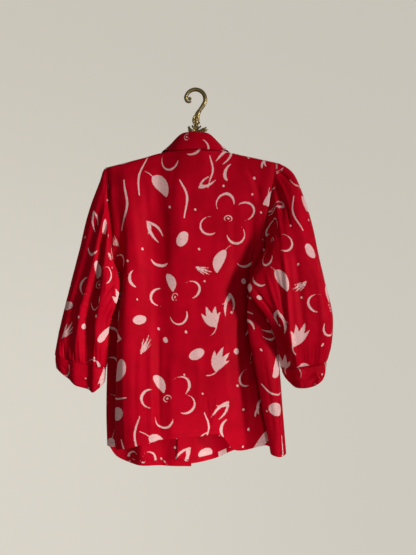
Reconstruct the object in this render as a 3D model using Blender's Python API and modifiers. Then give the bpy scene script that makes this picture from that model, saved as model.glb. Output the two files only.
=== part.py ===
"""A woman's printed blouse on a brass hanger, hung up with its back outward.

Frame: metres, +Z up. The origin is the seat of the hanger's hook, where a nail
or rail carries it. The back of the blouse faces -Y and its buttoned front +Y.
"Left" and "right" are the wearer's: left is -X.

Every panel is an open sheet lofted through named fold lines and given its
thickness by a Solidify modifier. Sizes in the tables are millimetres.
"""

import math

import bmesh
import bpy
import numpy as np

MM = 0.001

# ------------------------------------------------------------------ sizes
CLOTH = 1.0            # wall thickness of a panel
SEAM_GAP = 0.9         # each panel stops this far short of a seam line
PLACKET = 35.0         # width of the turned-in facing
BUTTON_D = 11.5
BUTTON_T = 2.6
HOOK_R = 21.4          # radius of the hook's loop, on its centre line
HOOK_WIRE = 4.5        # radius of the hook's bar
ARM_R = 5.2            # radius of the hanger's arms

# Heights of the body's sections below the top edge: upper back, chest,
# underarm, waist, hip, low hip. The first and last sections are the top edge
# and the hem, whose heights differ from line to line.
SECTION_Z = (-239, -327, -404, -503, -613, -712)
UNDERARM = 5           # the station of the underarm point, counted from the top edge
UNDERARM_ROUND = (12.0, 4.5)  # this far above the underarm point, each side of the armhole's foot stands this far out
SPAN_LENGTHS = (9, 90, 88, 66, 12, 100, 110, 99, 85)  # from the top edge to the hem, station to station

# The back, wearer's left to right. A row is a fold line; columns are x and y
# at the six sections and at the hem, then the hem's height.
BACK_LINES = (
    # name             x at each section                            y at each section                  hem z
    ("seam_left",     (-189, -182, -188, -194, -199, -201, -199), (-8, -8, 11, 18, 24, 26, 26), -785),
    ("turn_left",     (-184, -177, -182, -187, -190, -192, -190), (-11, -9, 8, 12, 15, 16, 16), -786),
    ("valley_left",   (-178, -170, -169, -166, -164, -164, -165), (-14, -10, 8, 13, 14, 14, 14), -784),
    ("edge_left",     (-168, -160, -160, -168, -171, -173, -171), (-18, -13, -8, -19, -26, -28, -28), -780),
    ("ridge_left",    (-149, -144, -147, -149, -147, -145, -142), (-25, -27, -29, -37, -44, -48, -48), -771),
    ("flank_left",    (-104, -100, -100, -99, -95, -91, -87), (-15, -14, -17, -25, -33, -38, -40), -759),
    ("crease",        (-84, -83, -83, -83, -79, -78, -78), (-11, -11, -13, -19, -26, -29, -30), -758),
    ("ridge_mid",     (-44, -40, -40, -44, -47, -45, -43), (-21, -22, -22, -24, -28, -31, -32), -756),
    ("centre",        (10, 10, 10, 10, 6, 6, 6), (-19, -18, -18, -19, -22, -24, -25), -753),
    ("plain_right",   (58, 58, 58, 54, 52, 52, 54), (-16, -13, -13, -14, -16, -18, -18), -751),
    ("slope_right",   (97, 92, 88, 87, 90, 94, 86), (-13, -8, -3, -4, -6, -8, -10), -786),
    ("valley_in",     (114, 109, 110, 116, 130, 141, 146), (-11, -5, 8, 11, 13, 13, 13), -784),
    ("valley_foot",   (123, 118, 124, 129, 143, 154, 158), (-10, -2, 16, 18, 19, 19, 19), -784),
    ("valley_out",    (133, 126, 134, 139, 153, 163, 167), (-9, -3, 12, 9, 11, 12, 12), -786),
    ("roll_edge",     (144, 133, 118, 113, 132, 149, 163), (-10, -9, 2, -16, -28, -35, -36), -788),
    ("roll_crest",    (152, 141, 134, 139, 157, 170, 179), (-10, -11, 3, -22, -40, -46, -46), -791),
    ("roll_flank",    (158, 147, 150, 166, 180, 189, 195), (-9, -10, 9, -12, -21, -24, -24), -791),
    ("seam_right",    (164, 152, 160, 178, 187, 193, 197), (-7, -8, 11, 12, 14, 14, 14), -790),
)

# The left front, from the side seam to its buttoning edge.
FRONT_LEFT_LINES = (
    ("seam_left",     (-189, -182, -188, -194, -199, -201, -199), (9, 12, 11, 18, 24, 26, 26), -785),
    ("turn_left",     (-184, -178, -186, -192, -196, -198, -196), (13, 16, 19, 27, 33, 35, 35), -790),
    ("side_left",     (-170, -166, -172, -178, -181, -182, -180), (18, 20, 26, 36, 40, 41, 41), -814),
    ("ridge_left",    (-146, -146, -148, -152, -153, -151, -150), (22, 26, 32, 40, 43, 43, 42), -829),
    ("dip_left",      (-112, -114, -118, -122, -122, -121, -120), (24, 24, 23, 21, 19, 18, 18), -829),
    ("chest_left",    (-74, -76, -80, -84, -86, -86, -85), (31, 35, 37, 39, 41, 41, 40), -835),
    ("plain_left",    (-36, -40, -42, -44, -48, -50, -48), (33, 35, 35, 35, 35, 34, 34), -835),
    ("edge_left",     (19, 15, 10, 4, -3, -7, -10), (35, 34, 33, 32, 31, 30, 30), -834),
)

# The right front, from its buttoning edge to the side seam. It laps over the
# left front, so it lies a little further out.
FRONT_RIGHT_LINES = (
    ("edge_right",    (-16, -20, -24, -30, -37, -41, -44), (39, 38.5, 38, 38, 37.5, 37, 37), -832),
    ("lap_right",     (19, 15, 10, 4, -3, -7, -10), (39, 38, 37, 36, 35, 34, 34), -829),
    ("chest_right",   (54, 52, 50, 48, 45, 42, 42), (36, 38, 38, 38, 38, 37, 36), -818),
    ("dip_right",     (92, 90, 88, 87, 86, 85, 86), (27, 25, 21, 19, 18, 18, 18), -794),
    ("ridge_right",   (124, 118, 118, 124, 128, 131, 132), (22, 26, 32, 38, 41, 42, 42), -790),
    ("side_right",    (148, 138, 142, 156, 165, 171, 175), (18, 20, 26, 34, 38, 39, 39), -786),
    ("turn_right",    (160, 148, 156, 174, 183, 189, 193), (13, 15, 19, 23, 25, 25, 25), -788),
    ("seam_right",    (164, 152, 160, 178, 187, 193, 197), (8, 11, 11, 12, 14, 14, 14), -790),
)

# Top edges: shoulder seams and neckline, left to right, as (x, y, z).
TOP_BACK = (
    (-193, -1.4, -166), (-160, -1.4, -157.5), (-120, -1.4, -147), (-72, -1.4, -134.5),
    (-62, -8, -132), (-38, -21, -127), (0, -27, -125), (40, -21, -127), (66, -8, -132),
    (76, -1.4, -134.5), (110, -1.4, -141.5), (145, -1.4, -149), (177, -1.4, -156),
)
TOP_FRONT_LEFT = (
    (-193, 1.4, -166), (-160, 1.4, -157.5), (-120, 1.4, -147), (-72, 1.4, -134.5),
    (-62, 9, -138), (-52, 19, -153), (-36, 28, -177), (-10, 34, -199), (21, 36, -208),
)
TOP_FRONT_RIGHT = (
    (-14, 42, -207), (12, 41, -200), (40, 31, -177), (56, 20, -153), (66, 9, -138),
    (76, 1.4, -134.5), (110, 1.4, -141.5), (145, 1.4, -149), (177, 1.4, -156),
)
SHOULDER_ROOF = (5.0, 7.4)  # just under a shoulder seam: this much lower, and this much further out

# The sleeves. A row is a ring: its outer point (x, z) and inner point (x, z).
# The ring above the first is the armhole, taken from the body panels.
SLEEVE_LIP = 3.0       # width of the strip that leaves the armhole
LEFT_RINGS = (
    # outer x, z     inner x, z
    (-211, -198,     -170, -408),
    (-237, -270,     -163, -424),
    (-254, -340,     -164, -444),
    (-272, -408,     -172, -474),
    (-287, -468,     -184, -509),
    (-301, -529,     -189, -553),
    (-311, -581,     -193, -606),
)
# Fold lines round the left sleeve, down the back from the outer point to the
# inner one and up the front: share of the way from outer to inner, depth y,
# and how far the first two rings stand off that line to clear the body. Last
# is the height of the cuff's lower edge.
LEFT_SLEEVE_LINES = (
    # name         share at each ring                      y at each ring                       aside       cuff z
    ("outer",     (0, 0, 0, 0, 0, 0, 0),                 (2, 3, 4, 4, 4, 4, 3),               (0, 0),     -606),
    ("strip",     (.12, .12, .11, .11, .11, .12, .12),   (-10, -13, -13, -13, -12, -11, -9),  (0, 0),     -618),
    ("dip",       (.24, .25, .25, .26, .26, .27, .27),   (-14, -16, -16, -15, -14, -14, -12), (0, 0),     -630),
    ("crest_1",   (.35, .36, .37, .38, .38, .40, .42),   (-22, -27, -30, -31, -30, -28, -22), (0, 0),     -642),
    ("fold",      (.46, .50, .54, .59, .63, .68, .68),   (-18, -19, -20, -19, -16, -14, -18), (0, 0),     -652),
    ("crest_2",   (.56, .60, .64, .69, .72, .77, .78),   (-25, -33, -40, -43, -40, -35, -27), (0, 0),     -657),
    ("flank",     (.78, .82, .86, .88, .90, .91, .90),   (-22, -30, -36, -38, -34, -28, -22), (0, 0),     -648),
    ("inner",     (1, 1, 1, 1, 1, 1, 1),                 (-17, -24, -29, -30, -24, -15, -9),  (0, 0),     -634),
    ("under",     (1.0, .88, .84, .85, .86, .86, .86),   (3, -8, -17, -16, -8, -2, 3),        (-24, -12), -624),
    ("front_in",  (.74, .66, .58, .58, .58, .58, .58),   (12, 7, 0, -1, 3, 7, 9),             (-14, -7),  -620),
    ("front_mid", (.40, .36, .34, .34, .34, .34, .34),   (16, 16, 12, 11, 12, 13, 14),        (-7, 0),    -614),
    ("front_out", (.16, .13, .13, .13, .13, .13, .13),   (12, 14, 15, 15, 15, 15, 12),        (0, 0),     -606),
)
RIGHT_RINGS = (
    (214, -178,      131, -409),
    (236, -226,      117, -421),
    (256, -292,      112, -431),
    (270, -362,      124, -457),
    (285, -430,      150, -492),
    (300, -500,      168, -530),
    (297, -556,      178, -570),
    (289, -592,      187, -606),
)
RIGHT_SLEEVE_LINES = (
    ("outer",     (0, 0, 0, 0, 0, 0, 0, 0),                   (2, 2, 0, -3, -5, -6, -4, -1),          (0, 0),   -606),
    ("out_back",  (.12, .12, .12, .12, .12, .13, .13, .13),   (-18, -32, -42, -49, -53, -52, -45, -31), (0, 0), -630),
    ("plain",     (.30, .30, .30, .31, .34, .38, .38, .36),   (-22, -39, -50, -57, -60, -57, -50, -36), (0, 0), -643),
    ("ridge",     (.44, .46, .50, .56, .67, .80, .80, .72),   (-25, -42, -54, -60, -62, -58, -50, -36), (0, 0), -645),
    ("lee",       (.64, .68, .72, .77, .84, .91, .90, .84),   (-28, -42, -51, -57, -57, -46, -36, -28), (0, 0), -638),
    ("inner",     (1, 1, 1, 1, 1, 1, 1, 1),                   (-18, -30, -41, -47, -45, -36, -26, -12),  (0, 0), -616),
    ("under",     (1.0, .88, .85, .84, .84, .85, .86, .86),   (-5, -16, -29, -35, -34, -24, -13, 0),     (38, 15), -610),
    ("front_in",  (.74, .67, .62, .60, .60, .60, .60, .60),   (12, 4, -8, -16, -18, -9, 1, 8),          (16, 10), -608),
    ("front_mid", (.38, .36, .34, .34, .34, .34, .34, .34),   (16, 14, 8, 2, 1, 4, 8, 11),              (7, 0),  -606),
    ("front_out", (.14, .13, .13, .13, .13, .13, .13, .13),   (12, 14, 13, 12, 11, 10, 10, 10),         (0, 0),  -604),
)

# The collar's left half: neck seam, fold and outer edge, as (x, y, z), from
# the centre back round to the centre front. The right half mirrors it.
COLLAR_X = 0.0         # centre of the neck
COLLAR_SECTIONS = (
    # place            neck seam            fold                outer edge
    ("centre_back",   (0, -26, -122.0),    (0, -24.5, -95),    (0, -37, -133)),
    ("back_quarter",  (-34, -20, -124.0),  (-26, -18, -96.5),   (-40, -32, -134)),
    ("side_back",     (-54, -10, -127),    (-42, -8, -107),    (-56, -19, -132.5)),
    ("shoulder",      (-61, 0, -129.5),    (-49, 1, -114),     (-70, 0, -129)),
    ("side_front",    (-59, 10, -137),     (-52, 11, -121),    (-81, 19, -140)),
    ("front_quarter", (-46, 26, -160),     (-46, 30, -145),    (-91, 38, -180)),
    ("front_end",     (-1.5, 45, -204),    (-5, 49.5, -199),   (-58, 55, -246)),
)


# ------------------------------------------------------------------ curves
def smooth(points, steps, closed=False, before=None, after=None):
    """Points along a centripetal Catmull-Rom spline, `steps` to a span, at the same parameter for the same index."""
    p = np.asarray(points, float)
    if closed:
        ext = np.vstack([p[-1], p, p[0], p[1]])
    else:
        first = 2 * p[0] - p[1] if before is None else np.asarray(before, float)
        last = 2 * p[-1] - p[-2] if after is None else np.asarray(after, float)
        ext = np.vstack([first, p, last])
    out = []
    for i in range(len(ext) - 3):
        a, b, c, d = ext[i : i + 4]
        t0 = 0.0
        t1 = t0 + max(np.linalg.norm(b - a), 1e-6) ** 0.5
        t2 = t1 + max(np.linalg.norm(c - b), 1e-6) ** 0.5
        t3 = t2 + max(np.linalg.norm(d - c), 1e-6) ** 0.5
        for k in range(steps):
            t = t1 + (t2 - t1) * k / steps
            e = (t1 - t) / (t1 - t0) * a + (t - t0) / (t1 - t0) * b
            f = (t2 - t) / (t2 - t1) * b + (t - t1) / (t2 - t1) * c
            g = (t3 - t) / (t3 - t2) * c + (t - t2) / (t3 - t2) * d
            h = (t2 - t) / (t2 - t0) * e + (t - t0) / (t2 - t0) * f
            j = (t3 - t) / (t3 - t1) * f + (t - t1) / (t3 - t1) * g
            out.append((t2 - t) / (t2 - t1) * h + (t - t1) / (t2 - t1) * j)
    if not closed:
        out.append(p[-1])
    return np.array(out)


def lengths(line):
    return np.concatenate([[0.0], np.cumsum(np.linalg.norm(np.diff(line, axis=0), axis=1))])


def at(line, places):
    """Points on a polyline at the given distances along it."""
    along = lengths(line)
    return np.stack([np.interp(places, along, line[:, k]) for k in range(3)], axis=1)


def down(stations, steps, gaps=None, start=None):
    """Rows between the stations: a smooth curve down each column, without overshoot. `steps` rows to each span.

    Panels that share a seam from station `start` down are given the same gaps, and the slope there is that of
    the span below, so that the seam comes out the same on both.
    """
    s = np.asarray(stations, float)
    step = np.linalg.norm(np.diff(s, axis=0), axis=2).mean(axis=1) if gaps is None else np.array(gaps, float)
    slope = np.diff(s, axis=0) / step[:, None, None]
    tangent = np.empty_like(s)
    tangent[0], tangent[-1] = slope[0], slope[-1]
    a, b = slope[:-1], slope[1:]
    wa, wb = step[1:, None, None], step[:-1, None, None]
    mean = (a * wa + b * wb) / (wa + wb)
    limit = 2.5 * np.minimum(np.abs(a), np.abs(b))
    tangent[1:-1] = np.where(a * b > 0, np.sign(mean) * np.minimum(np.abs(mean), limit), mean * 0.15)
    if start is not None:
        tangent[start] = 0.7 * slope[start]
    out = []
    for k, n in enumerate(steps):
        h = step[k]
        for u in np.arange(n) / n:
            out.append(
                (2 * u**3 - 3 * u**2 + 1) * s[k]
                + (u**3 - 2 * u**2 + u) * h * tangent[k]
                + (3 * u**2 - 2 * u**3) * s[k + 1]
                + (u**3 - u**2) * h * tangent[k + 1]
            )
    out.append(s[-1])
    return np.array(out)


# ------------------------------------------------------------------ body panels
def panel_stations(lines, top, before, after, side):
    """Sections of a body panel, top edge to hem. `side` is -1 for the back and 1 for a front."""
    heights = list(SECTION_Z)
    sections = []
    for k in range(len(heights) + 1):
        z = [row[3] if k == len(heights) else heights[k] for row in lines]
        pts = [(row[1][k], row[2][k], z[i]) for i, row in enumerate(lines)]
        ends = []
        for other, own in ((before, pts[0]), (after, pts[-1])):
            ends.append(None if other is None else (other[1][k], other[2][k], own[2]))
        sections.append(smooth(pts, 6, before=ends[0], after=ends[1]))
    # the armhole's foot is rounded by one more section just above the underarm
    up, bow = UNDERARM_ROUND
    t = up / (heights[1] - heights[2])
    foot = sections[1] * t + sections[2] * (1 - t)
    for is_seam, from_seam in ((before is not None, lengths(foot)), (after is not None, lengths(foot[::-1])[::-1])):
        if is_seam:
            foot[:, 1] += side * bow * np.clip(1 - from_seam / 22.0, 0, 1) ** 2
    sections.insert(2, foot)
    share = lengths(sections[0])
    share /= share[-1]
    edge = smooth(top, 8)
    first = at(edge, share * lengths(edge)[-1])
    lower, out = SHOULDER_ROOF
    # the cloth rounds over the hanger's arms wherever the edge is a shoulder seam
    on_arm = np.clip((8.0 - np.abs(first[:, 1])) / 6.0, 0, 1)
    tips = np.clip((np.minimum(share, 1 - share)) / 0.03, 0, 1) if side < 0 else np.ones(len(share))
    second = first + np.stack([0 * on_arm, side * out * on_arm * (0.35 + 0.65 * tips), -lower + 0 * on_arm], 1)
    return np.array([first, second] + sections)


def across(table, pace, cut_left, cut_right):
    """Columns of a panel: every fold line, and as many between as the pace asks for; the seam edges stand off."""
    waist = table[len(table) // 2]
    spans = (len(waist) - 1) // 6
    picks = []
    for k in range(spans):
        long = lengths(waist[6 * k : 6 * k + 7])[-1]
        n = [1, 2, 3, 6][int(np.searchsorted((1.5, 2.5, 4.5), long / pace))]
        picks += [6 * k + 6 * j // n for j in range(n)]
    picks.append(6 * spans)
    out = []
    for row in table:
        along = lengths(row)
        places = along[picks]
        places[0], places[-1] = cut_left, along[-1] - cut_right
        out.append(at(row, places))
    return np.array(out)


def panel(lines, top, steps, pace, before=None, after=None, side=-1, cut_left=SEAM_GAP, cut_right=SEAM_GAP):
    table = down(panel_stations(lines, top, before, after, side), steps, SPAN_LENGTHS, UNDERARM)
    return across(table, pace, cut_left, cut_right)


def back_panel(steps, pace):
    return panel(BACK_LINES, TOP_BACK, steps, pace, FRONT_LEFT_LINES[1], FRONT_RIGHT_LINES[-2], -1)


def front_left_panel(steps, pace):
    return panel(FRONT_LEFT_LINES, TOP_FRONT_LEFT, steps, pace, BACK_LINES[1], None, 1, SEAM_GAP, 0.0)


def front_right_panel(steps, pace):
    return panel(FRONT_RIGHT_LINES, TOP_FRONT_RIGHT, steps, pace, None, BACK_LINES[-2], 1, 0.0, SEAM_GAP)


# ------------------------------------------------------------------ sleeves
def armhole(side):
    """The armhole as a closed ring: shoulder tip, down the back, underarm, up the front."""
    fine = (4, 12, 10, 10, 6, 2, 2, 2, 2)
    back = back_panel(fine, 10)
    front = front_left_panel(fine, 10) if side < 0 else front_right_panel(fine, 10)
    column = 0 if side < 0 else -1
    b, f = back[:, column], front[:, column]
    b, f = b[b[:, 2] > -404], f[f[:, 2] > -404]
    heights = np.linspace(b[2, 2], -403, 40)
    line = [np.stack([np.interp(-heights, -q[:, 2], q[:, 0]), np.interp(-heights, -q[:, 2], q[:, 1]), heights], 1)
            for q in (b, f)]
    # the last stretch above the underarm is left out, so that the ring's foot is round
    wide = line[1][:, 1] - line[0][:, 1] > 9.0
    low = [q[-1] for q in line]
    tip = (b[0] + f[0]) / 2 + (side * 1.0, 0, 0.6)
    pit = (low[0] + low[1]) / 2 + (side * 4.0, -5.0, -1.0)
    out = (side * 2.4, 0, 0)
    return np.vstack([tip, line[0][wide] + out, pit, (line[1][wide] + out)[::-1]])


def sleeve_rings(side, rings, lines):
    sections = []
    for k, (ox, oz, ix, iz) in enumerate(rings):
        pts = []
        for _, share, y, aside, _ in lines:
            s = share[k]
            stand_off = aside[k] if k < 2 else 0
            pts.append((ox + (ix - ox) * s + stand_off, y[k], oz + (iz - oz) * s))
        sections.append(smooth(pts, 6, closed=True))
    first = sections[0]
    closed_first = np.vstack([first, first[:1]])
    share = lengths(closed_first)
    share = share / share[-1]
    ring = armhole(side)
    # the underarm point of the armhole falls on the sleeve's inner line
    inner = [row[0] for row in lines].index("inner") * 6
    pit = int(np.argmin(ring[:, 2]))
    back, front = ring[: pit + 1], np.vstack([ring[pit:], ring[:1]])
    u = share[: inner + 1] / share[inner]
    v = (share[inner:] - share[inner]) / (1 - share[inner])
    down_back = at(back, u * lengths(back)[-1])
    up_front = at(front, v * lengths(front)[-1])
    armhole_ring = np.vstack([down_back, up_front[1:-1]])
    # the sleeve leaves the armhole outward; behind and under the arm it turns backward, over the body panel
    z = armhole_ring[:, 2]
    foot = np.clip((-330 - z) / 55, 0, 1)
    head = np.clip((z + 215) / 50, 0, 1)
    behind = np.clip((inner + 2 - np.arange(len(z))) / 4.0, 0, 1) * (1 - head)
    lip = armhole_ring + SLEEVE_LIP * np.stack(
        [side * (1 - behind * (0.25 + 0.65 * foot)), -behind * (0.45 + 0.55 * foot), -0.4 * (1 - foot)], 1)
    return np.array([armhole_ring, lip] + sections)


def round_ring(row, inner, cols):
    """A closed ring resampled from its outer point to its inner one and back, so that both stay columns."""
    loop = np.vstack([row, row[:1]])
    along = lengths(loop)
    near = int(round(cols * 0.54))
    first = np.linspace(0, along[inner], near + 1)
    second = np.linspace(along[inner], along[-1], cols - near + 1)
    return at(loop, np.concatenate([first, second[1:-1]]))


def sleeve(side, steps, cols):
    rings, lines = (LEFT_RINGS, LEFT_SLEEVE_LINES) if side < 0 else (RIGHT_RINGS, RIGHT_SLEEVE_LINES)
    table = down(sleeve_rings(side, rings, lines), steps)
    inner = [row[0] for row in lines].index("inner") * 6
    return np.array([round_ring(row, inner, cols) for row in table])


def cuff(side, rows, cols):
    """A band below the sleeve's gathered end, a little narrower, whose lower edge slants as the table says."""
    rings, lines = (LEFT_RINGS, LEFT_SLEEVE_LINES) if side < 0 else (RIGHT_RINGS, RIGHT_SLEEVE_LINES)
    end = sleeve(side, [1] * (len(rings) + 1), cols)[-1]
    middle = end.mean(axis=0)
    ox, oz, ix, iz = rings[-1]
    inner = [row[0] for row in lines].index("inner") * 6
    lower = [(ox + (ix - ox) * row[1][-1], row[2][-1], row[4]) for row in lines]
    lower = round_ring(smooth(lower, 6, closed=True), inner, cols)
    out = []
    for k in range(rows + 1):
        t = k / rows
        ring = end * (1 - t) + lower * t
        ring[:, 2] -= 1.2 * (1 - t)
        narrow = 0.975 - 0.03 * t
        ring[:, 0] = middle[0] + (ring[:, 0] - middle[0]) * narrow
        ring[:, 1] = middle[1] + (ring[:, 1] - middle[1]) * (1.0 + 0.08 * t)
        out.append(ring)
    return np.array(out)


# ------------------------------------------------------------------ collar
def collar(steps, cols, keep=None):
    """The one-piece collar: up from the neck seam, over the fold and down to the outer edge."""
    left = [tuple(np.array(p) * (1, 1, 1) for p in row[1:]) for row in COLLAR_SECTIONS]
    right = [tuple(np.array(p) * (-1, 1, 1) for p in row) for row in left]
    whole = left[::-1] + right[1:]
    bands = []
    for k in range(3):
        pts = [row[k] + (COLLAR_X, 0, 0) for row in whole]
        line = smooth(pts, 10)
        bands.append(at(line, np.linspace(0, lengths(line)[-1], cols + 1)))
    neck, fold, edge = bands
    grid = []
    for i in range(cols + 1):
        n, f, e = neck[i], fold[i], edge[i]
        a, b = (n - f), (e - f)
        la, lb = np.linalg.norm(a), np.linalg.norm(b)
        a, b = a / la, b / lb
        outward = b - a * np.dot(a, b)
        outward /= np.linalg.norm(outward)
        leg = min(3.0, 0.35 * la)
        path = [n, (n + f) / 2, f + a * leg, f - a * 0.6 + outward * 1.5, f + b * 3.0 + outward * 2.6,
                f + (e - f) * 0.6 + outward * 2.2, e]
        line = smooth(path, steps)
        grid.append(line if keep is None else line[list(keep)])
    return np.array(grid).transpose(1, 0, 2)


def facing(steps, cols):
    """The left front's edge turned in, along the inside of the buttoning edge."""
    front = front_left_panel(steps, 4)
    out = []
    for row in front[steps[0] : -1]:
        along = lengths(row)
        places = along[-1] - np.linspace(0.6, PLACKET, cols + 1)
        out.append(at(row, places) + (0, -2.4, 0))
    return np.array(out)


# ------------------------------------------------------------------ Blender
for old in list(bpy.data.objects):
    bpy.data.objects.remove(old)

model = bpy.data.collections.new("blouse_on_hanger")
bpy.context.scene.collection.children.link(model)


def material(name, colour, rough, metal=0.0):
    m = bpy.data.materials.new(name)
    m.use_nodes = True
    shader = m.node_tree.nodes["Principled BSDF"]
    shader.inputs["Base Color"].default_value = (*colour, 1)
    shader.inputs["Roughness"].default_value = rough
    shader.inputs["Metallic"].default_value = metal
    return m


RED = material("red_crepe", (0.45, 0.004, 0.016), 0.6)
BRASS = material("aged_brass", (0.42, 0.30, 0.10), 0.32, 1.0)
BUTTON = material("button_red", (0.40, 0.01, 0.02), 0.3)


def sheet(name, grid, closed, thickness=CLOTH, offset=0.0, mat=RED):
    """A lofted open sheet, rows by columns of points in millimetres, thickened by Solidify."""
    rows, cols = grid.shape[:2]
    bm = bmesh.new()
    verts = [[bm.verts.new(grid[r, c] * MM) for c in range(cols)] for r in range(rows)]
    last = cols if closed else cols - 1
    for r in range(rows - 1):
        for c in range(last):
            d = (c + 1) % cols
            bm.faces.new((verts[r][c], verts[r + 1][c], verts[r + 1][d], verts[r][d]))
    mesh = bpy.data.meshes.new(name)
    bm.to_mesh(mesh)
    bm.free()
    mesh.materials.append(mat)
    mesh.shade_smooth()
    obj = bpy.data.objects.new(name, mesh)
    model.objects.link(obj)
    wall = obj.modifiers.new("wall", "SOLIDIFY")
    wall.thickness = thickness * MM
    wall.offset = offset
    wall.use_even_offset = False
    return obj


BODY_STEPS, PACE = (1, 2, 2, 2, 1, 2, 2, 2, 2), 13.0
LEFT_STEPS, RIGHT_STEPS, SLEEVE_COLS = (1, 2, 2, 2, 2, 2, 2, 1), (1, 2, 2, 2, 1, 2, 2, 1, 1), 28

back = back_panel(BODY_STEPS, PACE)
front_left = front_left_panel(BODY_STEPS, PACE)
front_right = front_right_panel(BODY_STEPS, PACE)
sheet("back", back, False)
sheet("front_left", front_left, False)
sheet("front_right", front_right, False)
sheet("sleeve_left", sleeve(-1, LEFT_STEPS, SLEEVE_COLS), True)
sheet("sleeve_right", sleeve(1, RIGHT_STEPS, SLEEVE_COLS), True)
sheet("cuff_left", cuff(-1, 2, SLEEVE_COLS), True)
sheet("cuff_right", cuff(1, 2, SLEEVE_COLS), True)
sheet("collar", collar(4, 26, (0, 4, 8, 10, 12, 15, 18, 24)), False)
sheet("facing_left", facing(BODY_STEPS, 2), False, 1.0)


def tube(name, points, radii, mat=BRASS, sides=3):
    """A bar that follows the points, with its own radius at each."""
    data = bpy.data.curves.new(name, "CURVE")
    data.dimensions = "3D"
    data.bevel_depth = MM
    data.bevel_resolution = sides
    data.use_fill_caps = True
    spline = data.splines.new("POLY")
    spline.points.add(len(points) - 1)
    for p, q, r in zip(spline.points, points, radii):
        p.co = (*(np.asarray(q) * MM), 1)
        p.radius = r
    data.materials.append(mat)
    obj = bpy.data.objects.new(name, data)
    model.objects.link(obj)
    return obj


def hook_line():
    """The S of the neck, the loop, and the tapering tip that wraps the ball: points and bar radii."""
    centre = np.array([0.0, 0.0, HOOK_WIRE - HOOK_R])
    neck = [(2.6, 0, -55.0, 3.6), (5.4, 0, -48.5, 3.9), (10.6, 0, -39.5, 4.2), (16.0, 0, -31.5, 4.5)]
    loop = []
    for k in range(13):
        a = math.radians(-18 + 190 * k / 12)
        p = centre + HOOK_R * np.array([math.cos(a), 0, math.sin(a)])
        loop.append((*p, HOOK_WIRE - 0.4 * k / 12))
    tip = [(-20.9, 0, -17.8, 3.4), (-18.6, 0, -21.6, 3.0), (-14.2, 0, -23.2, 2.6), (-9.4, 0, -21.6, 1.8)]
    table = np.array(neck + loop + tip)
    line = smooth(table[:, :3], 3)
    thick = np.interp(np.linspace(0, 1, len(line)), np.linspace(0, 1, len(table)), table[:, 3])
    return line, thick


hook, thick = hook_line()
tube("hanger_hook", hook, thick)


def turned(name, profile, steps=20, at_point=(0, 0, 0), mat=BRASS):
    """A turned shape: radius and height pairs, top to bottom, spun about the vertical by a Screw modifier."""
    mesh = bpy.data.meshes.new(name)
    verts = [(r * MM, 0, z * MM) for r, z in profile]
    mesh.from_pydata(verts, [(i, i + 1) for i in range(len(verts) - 1)], [])
    mesh.materials.append(mat)
    obj = bpy.data.objects.new(name, mesh)
    obj.location = np.asarray(at_point) * MM
    model.objects.link(obj)
    spin = obj.modifiers.new("spin", "SCREW")
    spin.steps = spin.render_steps = steps
    spin.use_merge_vertices = True
    spin.merge_threshold = 0.00005
    return obj


# the ball inside the tip's curl
turned("hanger_ball", [(3.9 * math.sin(math.pi * k / 10), 3.9 * math.cos(math.pi * k / 10)) for k in range(11)],
       at_point=(-12.4, 0, -15.6))

# the leafy socket that the hook stands in, over the middle of the arms
turned("hanger_socket", (
    (0, -58.9), (3.4, -59.1), (4.9, -61), (5.7, -65), (4.6, -70), (5.6, -73), (4.2, -78), (4.4, -84),
    (6.4, -89), (7.2, -96), (6.2, -104), (7.4, -112), (7.8, -117), (6.2, -120.6), (0, -120.7)), at_point=(1.2, 0, 0))

# two leaves that curl up from the socket's sides
for name, side, path in (
    ("hanger_leaf_left", -1, ((-7.2, 0, -93), (-10.6, 0, -89.5), (-13.6, 0, -84.5), (-13.4, 0, -77.5))),
    ("hanger_leaf_right", 1, ((9.8, 0, -92.5), (15, 0, -88.6), (20.5, 0, -85), (23.6, 0, -79.6))),
):
    line = smooth(path, 4)
    tube(name, line, np.interp(np.linspace(0, 1, len(line)), (0, 0.5, 1), (1.9, 2.9, 1.3)), sides=2)

# the arms, one bar bent over the neck, ending inside the shoulders
arm_path = ((-181, 0, -171.5), (-140, 0, -161), (-100, 0, -150.5), (-67, 0, -141.9), (-28, 0, -130.5),
            (0, 0, -126.2), (28, 0, -131.2), (72, 0, -141.6), (110, 0, -149.4), (140, 0, -155.6), (166, 0, -161))
line = smooth(arm_path, 4)
line = at(line, np.linspace(0, lengths(line)[-1], 30))
radii = [ARM_R * min(1.0, 0.55 + 0.45 * min(k, 29 - k) / 2.0) for k in range(30)]
tube("hanger_arms", line, radii, sides=3)


# ------------------------------------------------------------------ buttons
def button(name, where, normal):
    bm = bmesh.new()
    bmesh.ops.create_cone(bm, cap_ends=True, segments=20, radius1=BUTTON_D / 2 * MM,
                          radius2=BUTTON_D / 2 * MM, depth=BUTTON_T * MM)
    mesh = bpy.data.meshes.new(name)
    bm.to_mesh(mesh)
    bm.free()
    mesh.materials.append(BUTTON)
    obj = bpy.data.objects.new(name, mesh)
    model.objects.link(obj)
    yaw = math.atan2(normal[0], normal[1])
    pitch = math.asin(max(-1.0, min(1.0, normal[2])))
    obj.rotation_euler = (-math.pi / 2 + pitch, 0, -yaw)
    obj.location = where * MM
    soft = obj.modifiers.new("round", "BEVEL")
    soft.width = 0.6 * MM
    soft.segments = 2
    return obj


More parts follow.
